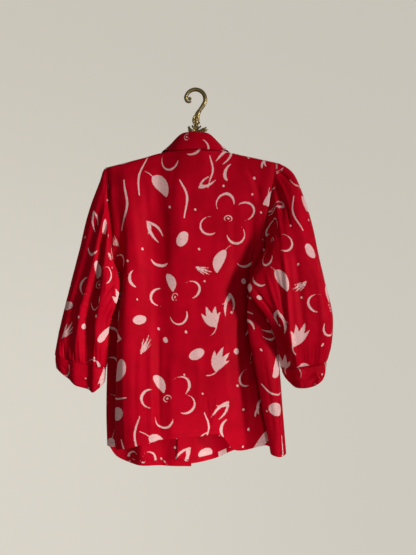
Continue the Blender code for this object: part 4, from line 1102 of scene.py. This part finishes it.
FRONT_CREASES = (
    (((118, 200), (121, 260), (122, 330), (122, 420)), 10, 2.4, 0.3, 0.3),
    (((140, 190), (142, 250), (141, 330), (142, 430)), 9, -2.2, 0.3, 0.3),
    (((160, 230), (158, 300), (158, 380), (160, 450)), 10, 1.8, 0.3, 0.2),
    (((176, 240), (174, 320), (172, 400)), 7, -1.2, 0.3, 0.3),
    (((232, 200), (234, 270), (235, 350), (238, 440)), 10, -2.0, 0.3, 0.3),
    (((216, 240), (218, 320), (217, 400)), 8, 1.4, 0.3, 0.3),
    (((250, 190), (252, 250), (258, 330), (264, 430)), 9, 2.2, 0.3, 0.3),
    (((150, 176), (160, 186), (172, 192)), 5, -1.2, 0.3, 0.4),
    (((244, 172), (234, 184), (224, 192)), 5, -1.2, 0.3, 0.4),
    (((136, 392), (150, 388), (166, 391)), 3, -0.9, 0.3, 0.4),
    (((222, 372), (236, 369), (250, 373)), 3, -0.9, 0.3, 0.4),
)

# ------------------------------------------------------------------ the body's panels
def work_panel(grid, flat, side, creases, seed, left=True, right=True, depth=-25.0):
    n = normals_of(grid, (0, side, 0))
    lift = np.zeros(grid.shape[:2])
    for table in creases:
        lift += crease_field(grid, n, table, side, depth)
    lift += drape_noise(flat, (34, 210), 1.5, seed) + drape_noise(flat, (15, 60), 0.45, seed + 7)
    total = np.linalg.norm(np.diff(grid, axis=1), axis=2).cumsum(axis=1)
    total = np.concatenate([np.zeros((grid.shape[0], 1)), total], 1)
    hold = np.ones(grid.shape[:2])
    if left:
        hold *= ease((total - 1.5) / 12)
    if right:
        hold *= ease((total[:, -1:] - total - 1.5) / 12)
    fall = np.linalg.norm(np.diff(grid, axis=0), axis=2).cumsum(axis=0)
    fall = np.concatenate([np.zeros((1, grid.shape[1])), fall], 0)
    hold *= ease((fall - 4) / 22)
    grid = grid + n * (lift * hold)[..., None]
    n = normals_of(grid, (0, side, 0))
    dip_edges(grid, n, left, right)
    # the shoulder and neck edge tips into its seam
    grid[0] -= n[0] * 0.7
    return grid, normals_of(grid, (0, side, 0))


def allow_top(grid, flat, normals, width=6.0, toward=None, gap=0.8):
    """A seam allowance before the first row: the cloth goes on inside, behind the seam."""
    u, v = flat
    first, n = grid[0], normals[0]
    ahead = grid[3] - grid[0] if toward is None else np.broadcast_to(toward, first.shape)
    ahead = ahead / np.maximum(np.linalg.norm(ahead, axis=1, keepdims=True), 1e-9)
    rows = [first - n * gap * 1.2 + ahead * width, first - n * gap * 1.3 + ahead * width * 0.4, first - n * gap * 0.7]
    return (np.vstack([rows, grid]),
            (np.vstack([u[0]] * 3 + [u]), np.vstack([v[0] - width, v[0] - 0.5 * width, v[0] - 0.6, v])),
            np.vstack([n[None]] * 3 + [normals]))


def allow_side(grid, flat, normals, last, width=7.0, gap=0.5):
    """A seam allowance beside an edge column, turned in and pressed back."""
    swap = (lambda a: a) if last else (lambda a: a[:, ::-1])
    g, n, u, v = swap(grid), swap(normals), swap(flat[0]), swap(flat[1])
    inward = g[:, -4] - g[:, -1]
    inward /= np.maximum(np.linalg.norm(inward, axis=1, keepdims=True), 1e-9)
    sign = 1.0 if u[-1, -1] > u[-1, -2] else -1.0
    cols, us, vs = [g], [u], [v]
    for back, go in ((gap, 0.2), (gap * 2.4, 0.4 * width), (gap * 2.6, width)):
        cols.append((g[:, -1] - n[:, -1] * back + inward * go)[:, None])
        us.append((u[:, -1] + sign * (0.4 + go))[:, None])
        vs.append(v[:, -1][:, None])
    more = np.concatenate([n] + [n[:, -1:]] * 3, 1)
    return swap(np.concatenate(cols, 1)), (swap(np.concatenate(us, 1)), swap(np.concatenate(vs, 1))), swap(more)


def hem_stitch(flat, rows, offset):
    """Signed distance on the flat cloth from a line of stitches that runs `offset` above the fold of the hem."""
    u, v = flat
    return v[rows - 1][None, :] - offset - v


def finish_panel(name, grid, flat, normals, shift, seams=(True, True), side_stitch=None, seam_shadow_line=None):
    start = 0
    for is_seam, last in zip(seams, (False, True)):
        if is_seam:
            cols = grid.shape[1]
            grid, flat, normals = allow_side(grid, flat, normals, last)
            start += 0 if last else grid.shape[1] - cols
    grid, flat, normals = allow_top(grid, flat, normals, 5.0)
    rows = grid.shape[0]
    grid, flat = turn_hem(grid, flat, normals)
    stitch = hem_stitch(flat, rows, HEM - 1.8)
    edge = flat[0].copy()
    if side_stitch is not None:
        column, offset = side_stitch
        beside = np.abs(flat[0] - flat[0][:, column][:, None]) - offset
        closer = np.abs(beside) < np.abs(stitch)
        stitch, edge = np.where(closer, beside, stitch), np.where(closer, flat[1], edge)
    if seam_shadow_line is not None:
        # painted shadow: a wide, darker dashed line along the first side's seam, down to a height, stands in for the
        # shade in the gap at that seam
        offset, low = seam_shadow_line
        beside = (flat[0] - flat[0][:, start][:, None] - offset) * 0.55 + 12.0 * ease((low - grid[..., 2]) / 20.0)
        closer = np.abs(beside) < np.abs(stitch)
        stitch, edge = np.where(closer, beside, stitch), np.where(closer, flat[1] * 0.5, edge)
    return make_grid(name, grid, flat, CREPE, shift, stitch, edge)


grid, flat = panel(BACK_LINES, TOP_BACK, FRONT_LEFT_LINES[1], FRONT_RIGHT_LINES[-2], -1, zero=8 / 17)
fall = np.concatenate([np.zeros((1, grid.shape[1])), np.linalg.norm(np.diff(grid, axis=0), axis=2).cumsum(axis=0)], 0)
soft = grid[..., 1].copy()
for _ in range(60):
    soft[:, 1:-1] = 0.5 * soft[:, 1:-1] + 0.25 * (soft[:, :-2] + soft[:, 2:])
inner = ease((np.abs(grid[..., 0]) < 110) * 1.0) * ease(fall / 3.0) * (1 - ease((fall - 24) / 30.0))
grid[..., 1] += (soft - grid[..., 1]) * inner * ease((110 - np.abs(grid[..., 0])) / 20.0)
grid, n = work_panel(grid, flat, -1, (BACK_CREASES, ROLL_CREASES), 3.0)
# the left armhole's seam pulls in a little
pull = ease((grid[:, :1, 2] + 345) / 30.0) * ease((-168 - grid[:, :1, 2]) / 12.0)
grid[..., 1] += 3.0 * pull * np.exp(-(((flat[0] - flat[0][:, :1]) / 2.6) ** 2))
# the back's left armhole seam gets a painted shadow line down to z -345
back = finish_panel("cloth_back", grid, flat, n, (150, 0), seam_shadow_line=(0.8, -345))

grid, flat = panel(FRONT_LEFT_LINES, TOP_FRONT_LEFT, BACK_LINES[1], None, 1, zero=1.0)
grid, n = work_panel(grid, flat, 1, (FRONT_CREASES,), 11.0, right=False, depth=35.0)
front_left_grid, front_left_flat, front_left_normals = grid.copy(), (flat[0].copy(), flat[1].copy()), n
front_left = finish_panel("cloth_front_left", grid, flat, n, (60, 118), seams=(True, False))

grid, flat = panel(FRONT_RIGHT_LINES, TOP_FRONT_RIGHT, None, BACK_LINES[-2], 1, zero=0.0)
grid, n = work_panel(grid, flat, 1, (FRONT_CREASES,), 19.0, left=False, depth=35.0)
front_right_grid, front_right_normals = grid.copy(), n.copy()
fold_column = 0
grid, flat = turn_side(grid, flat, n, 12.0, last=False)
n = normals_of(grid, (0, 1, 0))
n[:, :6] = n[:, 6:7]
front_right = finish_panel("cloth_front_right", grid, flat, n, (80, 330), seams=(False, True), side_stitch=(6, 4.5))

# the left front's edge turned in: a strip with a raw, overlocked inner edge
g, (fu, fv), fn = front_left_grid, front_left_flat, front_left_normals
width = np.linalg.norm(np.diff(g, axis=1), axis=2).cumsum(axis=1)
strip, su, sv = [], [], []
for r in range(4, g.shape[0] - 5):
    along = lengths(g[r])
    places = along[-1] - np.linspace(0.4, PLACKET, 18)
    inset = 2.0 + 0.35 * math.sin(r * 0.11) + 0.25 * math.sin(r * 0.043 + 1)
    strip.append(at(g[r], places) - np.array([0, 1, 0]) * inset)
    su.append(fu[r, -1] + np.linspace(0.4, PLACKET, 18))
    sv.append(np.full(18, fv[r, -1]))
strip, su, sv = np.array(strip), np.array(su), np.array(sv)
# the strip's foot hangs free of the hem's fold and curls a little
tail = ease((np.arange(len(strip)) - (len(strip) - 14)) / 13)[:, None]
lean = ease((np.arange(len(strip)) - (len(strip) - 34)) / 33)[:, None]
strip[:, :, 1] -= 1.2 * tail + 8.0 * lean * np.linspace(0.45, 1, 18)
strip[:, :, 2] += 1.6 * tail * np.linspace(0, 1, 18) ** 2
# partly painted shade: a near-black line along the raw edge is the overlock thread and the shadow of the raised edge; a
# half-dark line along the foot is painted shade under the free lower edge
serge_and_shade = np.abs(su - su[:, -1:]) - 1.6
foot = np.abs(sv[-1:] - sv) - 1.2
serge_and_shade = np.where(foot < 3.0, np.minimum(serge_and_shade, np.maximum(foot, 2.1)), serge_and_shade)
facing = make_grid("cloth_facing", strip, (su, sv), SERGED_AND_SHADED, (30, 60), serge_and_shade, sv * 1.4 + su * 0.7)


# ------------------------------------------------------------------ sleeves and cuffs
def work_sleeve(side, creases, inside, seed, name, shift):
    grid, flat = sleeve(side)
    rings = LEFT_RINGS if side < 0 else RIGHT_RINGS
    centre = grid.mean(axis=1, keepdims=True)
    n = normals_of(grid, 1.0 * (grid - centre) / np.linalg.norm(grid - centre, axis=2, keepdims=True))
    lift = crease_field(grid, n, creases, -1) + crease_field(grid, n, inside, 1, 10.0)
    lift += drape_noise(flat, (30, 150), 0.8 if side < 0 else 1.5, seed) + drape_noise(flat, (13, 46), 0.5, seed + 5)
    fall = np.linalg.norm(np.diff(grid, axis=0), axis=2).cumsum(axis=0)
    fall = np.concatenate([np.zeros((1, grid.shape[1])), fall], 0)
    rise = fall[-1:] - fall
    hold = ease((fall - 2) / 9) * (0.35 + 0.65 * ease(rise / 5))
    cols = grid.shape[1]
    turn = np.arange(cols)
    hold *= ease(np.minimum(turn, cols - 1 - turn) / 5.0)[None, :]
    # fine puckers right at the gathered seams
    u = flat[0]
    pucker = np.sin(u * 2 * np.pi / 6.1 + 1.3 * np.sin(u / 17.0)) * 0.55 + np.sin(u * 2 * np.pi / 3.7) * 0.22
    lift = lift * hold + pucker * (np.exp(-rise / 7.0) * ease(rise / 1.2) * (0.7 if side < 0 else 0.4) + 0.5 * np.exp(-fall / 6.0) * ease(fall / 1.5)
                                   * ease((grid[..., 2] + 330) / 60))
    grid = grid + n * lift[..., None]
    n = normals_of(grid, n)
    dip_edges(grid, n, True, True, depth=0.8)
    # the end turns in over the cuff
    grid = grid - n * (1.3 * np.exp(-rise / 2.0))[..., None]
    first = grid[0]
    inside = first.mean(axis=0) - (side * 22.0, 0, 0)
    grid, flat, n = allow_top(grid, flat, n, 5.0, inside - first)
    # on the left sleeve the armhole seam's line is painted shade, the shadow in the gap beside the body; on the right
    # it is plain thread
    stitch = np.vstack([np.full((3, cols), 9.0), np.where(fall < 6, fall - 1.6, 9.0)])
    return make_grid(name, grid, flat, SEAM_SHADE if side < 0 else CREPE, shift, stitch, flat[0]), n


def work_cuff(side, creases, name, shift):
    grid, flat = cuff(side)
    centre = grid.mean(axis=1, keepdims=True)
    n = normals_of(grid, (grid - centre) / np.linalg.norm(grid - centre, axis=2, keepdims=True))
    lift = drape_noise(flat, (24, 30), 1.2 if side < 0 else 1.8, 31.0 + side) + crease_field(grid, n, creases, -1)
    grid = grid + n * (lift * ease(flat[1] / 6.0))[..., None]
    top = flat[1][0][None, :]
    grid, flat, n = allow_top(grid, flat, n, 6.0, (0.0, 0.0, 1.0), 1.6)
    turned_grid, turned_flat = turn_hem(grid, flat, n, width=14.0, gap=1.3)
    down_it = turned_flat[1]
    last = flat[1][-1][None, :]
    near_low = (last - 2.6) - down_it
    near_top = down_it - top - 2.2
    stitch = np.where(np.abs(near_low) < np.abs(near_top), near_low, near_top)
    return make_grid(name, turned_grid, turned_flat, CREPE, shift, stitch, turned_flat[0])


sleeve_left, _ = work_sleeve(-1, LEFT_SLEEVE_CREASES, LEFT_SLEEVE_INSIDE, 23.0, "cloth_sleeve_left", (40, 210))
sleeve_right, _ = work_sleeve(1, RIGHT_SLEEVE_CREASES, RIGHT_SLEEVE_INSIDE, 29.0, "cloth_sleeve_right", (96, 118))
cuff_left = work_cuff(-1, LEFT_CUFF_CREASES, "cloth_cuff_left", (100, 300))
cuff_right = work_cuff(1, RIGHT_CUFF_CREASES, "cloth_cuff_right", (10, 240))

# ------------------------------------------------------------------ collar
grid, flat = collar()
centre_line = np.array([0, 4.0, 0])
n = normals_of(grid, (0, 0, 1))
outer = grid[-1].mean(axis=0)
if (n[-6] * (grid[-6] - grid[2])).sum() < 0:
    n = -n
wave = drape_noise(flat, (30, 30), 0.5, 41.0)
fall = ease(np.linspace(0, 1, grid.shape[0]) * 3 - 1)[:, None]
grid = grid + n * (wave * fall)[..., None]
rows = grid.shape[0]
turned_grid, turned_flat = turn_hem(grid, flat, n, width=9.0, gap=1.1)
stitch = (flat[1][-1][None, :] - 4.5) - turned_flat[1]
collar_piece = make_grid("cloth_collar", turned_grid, turned_flat, CREPE, (88, 36), stitch, turned_flat[0])


# ------------------------------------------------------------------ the brass hook and its socket
HOOK_R, HOOK_WIRE = 21.4, 4.5


def make_mesh(name, points, faces, mat, hollow=None, smooth_it=True):
    mesh = bpy.data.meshes.new(name)
    mesh.from_pydata([tuple(float(c) * MM for c in q) for q in points], [], [tuple(int(i) for i in f) for f in faces])
    if hollow is not None:
        layer = mesh.attributes.new("hollow", "FLOAT", "POINT")
        layer.data.foreach_set("value", np.asarray(hollow, float).reshape(-1))
    bm = bmesh.new()
    bm.from_mesh(mesh)
    bmesh.ops.recalc_face_normals(bm, faces=bm.faces)
    bm.to_mesh(mesh)
    bm.free()
    if smooth_it:
        mesh.shade_smooth()
    mesh.materials.append(mat)
    obj = bpy.data.objects.new(name, mesh)
    bpy.context.scene.collection.objects.link(obj)
    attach(obj, "root")
    return obj


def loft_parts(path, wide, thick, relief=None, sides=24, side=(0.0, 1.0, 0.0)):
    """Rings along a path in a plane: `wide` is the half width in that plane, `thick` along `side`. `relief` gives the
    share of the radius at each angle and each share of the length."""
    path = np.asarray(path, float)
    tangent = np.gradient(path, axis=0)
    tangent /= np.linalg.norm(tangent, axis=1, keepdims=True)
    side = np.asarray(side, float)
    normal = np.cross(side, tangent)
    normal /= np.maximum(np.linalg.norm(normal, axis=1, keepdims=True), 1e-9)
    other = np.cross(tangent, normal)
    angle = np.arange(sides) * 2 * math.pi / sides
    share = np.linspace(0, 1, len(path))
    r = np.ones((len(path), sides)) * (1.0 if relief is None else relief(angle[None, :], share[:, None]))
    rings = (path[:, None] + normal[:, None] * (np.asarray(wide)[:, None] * r * np.cos(angle))[..., None]
             + other[:, None] * (np.asarray(thick)[:, None] * r * np.sin(angle))[..., None])
    points = rings.reshape(-1, 3)
    index = np.arange(len(points)).reshape(len(path), sides)
    nxt = np.roll(index, -1, axis=1)
    faces = np.stack([index[:-1], index[1:], nxt[1:], nxt[:-1]], -1).reshape(-1, 4).tolist()
    faces += [index[0].tolist(), index[-1][::-1].tolist()]
    hollow = np.clip((1.0 - r) * 5.0, 0, 1).reshape(-1)
    return points, faces, hollow


def joined(name, parts, mat):
    points, faces, hollow, base = [], [], [], 0
    for p, f, h in parts:
        points.append(p)
        hollow.append(h)
        faces += [[i + base for i in face] for face in f]
        base += len(p)
    return make_mesh(name, np.vstack(points), faces, mat, np.concatenate(hollow))


def leaf_part(path, width, thick, curl=0.0):
    """A cast leaf: a blade with a sunk midrib and scalloped sides, along a path."""
    line = smooth(path, 10)
    t = np.linspace(0, 1, len(line))
    w = width * np.clip(np.sin(np.pi * (0.10 + 0.88 * t) ** 0.85), 0, 1) ** 0.8 + 0.35
    h = thick * (0.55 + 0.45 * np.sin(np.pi * t)) + 0.25

    def relief(a, s):
        rib = np.exp(-((np.cos(a)) / 0.22) ** 2)
        vein = 0.10 * np.cos(a) ** 2 * np.sin(s * 2 * np.pi * 5.5)
        return 1.0 - 0.34 * rib * np.sin(np.pi * np.clip(s, 0, 1)) + vein

    return loft_parts(line, w, h, relief, sides=28)


def hook_line():
    centre = np.array([0.0, 0.0, HOOK_WIRE - HOOK_R])
    neck = [(2.6, 0, -55.0, 3.6), (5.4, 0, -48.5, 3.9), (10.6, 0, -39.5, 4.2), (16.0, 0, -31.5, 4.5)]
    loop = []
    for k in range(13):
        a = math.radians(-18 + 190 * k / 12)
        q = centre + HOOK_R * np.array([math.cos(a), 0, math.sin(a)])
        loop.append((*q, HOOK_WIRE - 0.4 * k / 12))
    tip = [(-20.9, 0, -17.8, 3.4), (-18.6, 0, -21.6, 3.0), (-14.2, 0, -23.2, 2.6), (-9.4, 0, -21.6, 1.8)]
    table = np.array(neck + loop + tip)
    return smooth(table, 8)


hook = hook_line()


def bar_relief(a, s):
    """A cast bar: a blunt spine along its outside, and shallow hollows where it was filed by hand."""
    spine = 0.07 * np.exp(-((np.cos(a) - 1) / 0.35) ** 2)
    dents = 0.035 * np.sin(2 * a + 9 * np.pi * s) * np.sin(23 * s + 1.0)
    flutes = 0.05 * np.cos(4 * a + 5 * s) * np.clip((0.34 - s) / 0.34, 0, 1)
    return 0.98 + spine * np.sin(np.pi * np.clip(s * 1.1, 0, 1)) + dents + flutes


thick = hook[:, 3]
hook_bar = joined("hook_bar", [loft_parts(hook[:, :3], thick, thick, bar_relief, sides=32)], BRASS)

# the ball that the tip curls round
t = np.linspace(0, 1, 26)
ball_r = 4.1 * np.sin(np.pi * np.clip(t, 0.012, 0.988))
ball_path = np.stack([-12.4 - 0 * t, 0 * t, -15.6 + 4.1 * np.cos(np.pi * t)], 1)
hook_ball = joined("hook_ball", [loft_parts(ball_path, ball_r, ball_r, lambda a, s: 1 + 0.02 * np.cos(3 * a), sides=28)], BRASS)

# the leafy socket: a sheath of leaves twisted round the stem, a knop, and the stem down to the arms
socket_profile = np.array((
    # height, radius
    (-41.0, 3.7), (-43.0, 4.6), (-47.0, 5.0), (-53.0, 5.6), (-60.0, 6.3), (-67.0, 6.0), (-72.0, 5.2), (-75.0, 4.4),
    (-77.5, 5.4), (-80.5, 6.2), (-83.0, 5.2), (-86.0, 5.6), (-91.0, 7.2), (-96.0, 7.2), (-104, 6.2), (-112, 7.4),
    (-117, 7.8), (-120.6, 6.2)))
z = np.linspace(-41.0, -120.6, 120)
radius = np.interp(-z, -socket_profile[:, 0], socket_profile[:, 1])
lean = np.interp(-z, (41, 48, 55, 66, 80, 120), (9.7, 5.6, 2.7, 1.6, 1.3, 1.2))


def socket_relief(a, s):
    leafy = np.clip((0.43 - s) / 0.06, 0, 1)
    blades = 0.17 * (np.abs(np.cos(1.5 * a + 8.5 * s)) ** 0.6 - 0.62)
    ribs = 0.03 * np.cos(12 * a + 26 * s)
    below = 1 - leafy
    petals = 0.07 * np.cos(6 * a) * below * np.clip((s - 0.43) / 0.05, 0, 1) * np.clip((0.72 - s) / 0.1, 0, 1)
    return 1 + (blades + ribs) * leafy + petals


hook_socket = joined("hook_socket", [
    loft_parts(np.stack([lean, 0 * z, z], 1), radius, radius, socket_relief, sides=48),
    leaf_part(((2.8, -4.6, -70), (6.6, -5.0, -71.5), (8.6, -4.2, -69), (8.0, -3.0, -66)), 1.7, 1.2),
    leaf_part(((-2.5, -4.4, -73), (-4.5, -5.2, -66), (-3.2, -5.6, -58), (1.6, -5.4, -50)), 2.2, 1.2),
    leaf_part(((4.6, -3.6, -74), (6.2, -4.6, -67), (4.6, -5.4, -59), (5.4, -4.6, -51)), 1.8, 1.1),
], BRASS)
crown_left = joined("crown_left", [
    leaf_part(((-3.0, -3, -91), (-7.6, -5, -88.5), (-11.6, -5.5, -84.6), (-14.4, -4.5, -80), (-12.6, -3, -76.6)), 3.2, 1.7),
    leaf_part(((-2.0, -5, -87), (-7.0, -7, -87.6), (-12.0, -7, -88.6), (-16.6, -5.5, -87.0)), 2.3, 1.5),
    leaf_part(((-1.5, -5, -84), (-4.2, -6.4, -80.6), (-6.6, -6.2, -77.6), (-5.4, -5.2, -75.0)), 2.0, 1.2),
], BRASS)
crown_right = joined("crown_right", [
    leaf_part(((4.4, -3, -91), (10.0, -5, -88.5), (16.0, -5.5, -85.0), (21.6, -4.5, -82.2), (23.8, -3, -78.6)), 3.2, 1.7),
    leaf_part(((4.0, -5, -87), (10.6, -7, -87.8), (17.6, -7, -88.2), (24.0, -6, -87.0), (27.6, -5, -84.4)), 2.4, 1.5),
    leaf_part(((4.0, -5, -84), (7.4, -6.4, -81.0), (10.8, -6.2, -79.0), (11.6, -5.2, -75.6)), 2.0, 1.2),
], BRASS)

# ------------------------------------------------------------------ buttons
def button_mesh():
    profile = ((0, -1.25), (4.5, -1.25), (5.35, -0.95), (5.72, -0.25), (5.66, 0.45), (5.2, 1.05), (4.55, 1.28),
               (3.95, 1.10), (3.45, 0.72), (2.9, 0.55), (0, 0.50))
    steps = 44
    bm = bmesh.new()
    verts = [bm.verts.new((r * MM, 0, h * MM)) for r, h in profile]
    edges = [bm.edges.new((a, b)) for a, b in zip(verts, verts[1:])]
    bmesh.ops.spin(bm, geom=verts + edges, cent=(0, 0, 0), axis=(0, 0, 1), angle=2 * math.pi, steps=steps, use_merge=True)
    bmesh.ops.remove_doubles(bm, verts=bm.verts, dist=0.00002)
    bmesh.ops.recalc_face_normals(bm, faces=bm.faces)
    mesh = bpy.data.meshes.new("button_disc")
    bm.to_mesh(mesh)
    bm.free()
    disc = bpy.data.objects.new("button_disc", mesh)
    bpy.context.scene.collection.objects.link(disc)
    bm = bmesh.new()
    for dx in (-1.25, 1.25):
        for dy in (-1.25, 1.25):
            bmesh.ops.create_cone(bm, cap_ends=True, segments=16, radius1=0.72 * MM, radius2=0.72 * MM, depth=6 * MM,
                                  matrix=Matrix.Translation((dx * MM, dy * MM, 0)))
    holes_mesh = bpy.data.meshes.new("button_holes")
    bm.to_mesh(holes_mesh)
    bm.free()
    holes = bpy.data.objects.new("button_holes", holes_mesh)
    bpy.context.scene.collection.objects.link(holes)
    cut = disc.modifiers.new("holes", "BOOLEAN")
    cut.object = holes
    cut.solver = "EXACT"
    result = bpy.data.meshes.new_from_object(disc.evaluated_get(bpy.context.evaluated_depsgraph_get()))
    bpy.data.objects.remove(disc)
    bpy.data.objects.remove(holes)
    result.shade_smooth()
    result.materials.clear()
    result.materials.append(BUTTON)
    return result


def thread_mesh():
    """Two parallel loops of thread across the holes."""
    parts = []
    for dy in (-1.25, 1.25):
        for lay in (-0.28, 0.28):
            path = smooth(((-1.35, dy + lay, -0.9), (-1.28, dy + lay, 0.2), (-0.9, dy + lay, 0.82), (0, dy + lay * 0.7, 0.98),
                           (0.9, dy + lay, 0.82), (1.28, dy + lay, 0.2), (1.35, dy + lay, -0.9)), 5)
            r = np.full(len(path), 0.26)
            parts.append(loft_parts(path, r, r, None, sides=8))
    return parts


DISC = button_mesh()
buttons = []
grid_r, normal_r = front_right_grid, front_right_normals
for k in range(1, 7):
    lo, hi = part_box(f"button_{k}")
    middle = (np.array(lo) + np.array(hi)) / 2 / MM
    gap = np.linalg.norm(grid_r[..., ::2] - middle[::2], axis=2)
    r, c = np.unravel_index(int(np.argmin(gap)), gap.shape)
    axis = Vector(normal_r[r, c])
    spin = axis.to_track_quat("Z", "X").to_matrix().to_4x4()
    place = Matrix.Translation(Vector(middle * MM)) @ spin
    obj = bpy.data.objects.new(f"blouse_button_{k}", DISC.copy())
    obj.matrix_world = place
    bpy.context.scene.collection.objects.link(obj)
    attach(obj, "root")
    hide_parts(f"button_{k}")
    sewn = joined(f"button_thread_{k}", thread_mesh(), THREAD)
    sewn.matrix_world = place
    buttons += [obj, sewn]

# ------------------------------------------------------------------ what stands for what
for piece, nodes in (
    (back, ("back",)), (front_left, ("front_left",)), (front_right, ("front_right",)), (facing, ("facing_left",)),
    (sleeve_left, ("sleeve_left",)), (sleeve_right, ("sleeve_right",)), (cuff_left, ("cuff_left",)),
    (cuff_right, ("cuff_right",)), (collar_piece, ("collar",)),
):
    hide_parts(*nodes)
for piece, nodes in (
    (hook_bar, ("hanger_hook",)), (hook_ball, ("hanger_ball",)), (hook_socket, ("hanger_socket",)),
    (crown_left, ("hanger_leaf_left",)), (crown_right, ("hanger_leaf_right",)),
):
    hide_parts(*nodes)
arms = bpy.data.objects["hanger_arms"]
for k in range(len(arms.material_slots)):
    arms.material_slots[k].material = BRASS


# ------------------------------------------------------------------ light and camera
world = bpy.data.worlds.new("studio")
bpy.context.scene.world = world
world.use_nodes = True
wn, wl = world.node_tree.nodes, world.node_tree.links
direction = wn.new("ShaderNodeTexCoord").outputs["Generated"]
parts = wn.new("ShaderNodeSeparateXYZ")
wl.new(direction, parts.inputs[0])
# painted light: the background the camera sees is lighter towards the bottom and darker towards the right, a painted
# pool of light on the backdrop; other rays see a dim, even ambient
behind = mix_colour(wn, wl, ramp(wn, wl, parts.outputs["Z"], -0.25, 0.45), (0.70, 0.66, 0.585), (0.595, 0.56, 0.49))
behind = mix_colour(wn, wl, ramp(wn, wl, parts.outputs["X"], -0.35, 0.35, 0.0, 0.6), behind, (0.57, 0.54, 0.475))
colour = mix_colour(wn, wl, wn.new("ShaderNodeLightPath").outputs["Is Camera Ray"], (0.18, 0.172, 0.16), behind)
wl.new(colour, wn["Background"].inputs["Color"])
wn["Background"].inputs["Strength"].default_value = 1.0


def area_light(name, where, aim, size, power, colour):
    data = bpy.data.lights.new(name, "AREA")
    data.shape = "RECTANGLE"
    data.size, data.size_y = size
    data.energy = power
    data.color = colour
    obj = bpy.data.objects.new(name, data)
    obj.location = where
    obj.rotation_euler = (Vector(aim) - Vector(where)).to_track_quat("-Z", "Y").to_euler()
    bpy.context.scene.collection.objects.link(obj)


def spot_light(name, where, aim, spread, blend, radius, power, colour):
    data = bpy.data.lights.new(name, "SPOT")
    data.spot_size, data.spot_blend = math.radians(spread), blend
    data.shadow_soft_size = radius
    data.energy = power
    data.color = colour
    obj = bpy.data.objects.new(name, data)
    obj.location = where
    obj.rotation_euler = (Vector(aim) - Vector(where)).to_track_quat("-Z", "Y").to_euler()
    bpy.context.scene.collection.objects.link(obj)


spot_light("window", (3.0, -2.3, -0.20), (-0.35, 0.0, -0.50), 18, 1.0, 0.45, 870, (1.0, 0.97, 0.93))
spot_light("low", (0.35, -2.2, -1.30), (0.04, 0.03, -0.85), 10, 1.0, 0.12, 190, (1.0, 0.97, 0.93))
area_light("bounce", (0.5, 2.6, 0.3), (0.0, 0.0, -0.42), (2.6, 2.6), 20, (1.0, 0.97, 0.92))
area_light("fill", (0.4, -2.6, -0.6), (0.0, 0.0, -0.45), (1.8, 1.8), 6, (1.0, 0.98, 0.96))

camera_data = bpy.data.cameras.new("camera")
camera_data.sensor_width = 36
camera_data.lens = 38.3
camera = bpy.data.objects.new("camera", camera_data)
camera.location = (0.0277, -1.3, -0.4092)
camera.rotation_euler = (math.pi / 2, 0, 0)
bpy.context.scene.collection.objects.link(camera)
bpy.context.scene.camera = camera
bpy.context.scene.view_settings.view_transform = "Standard"
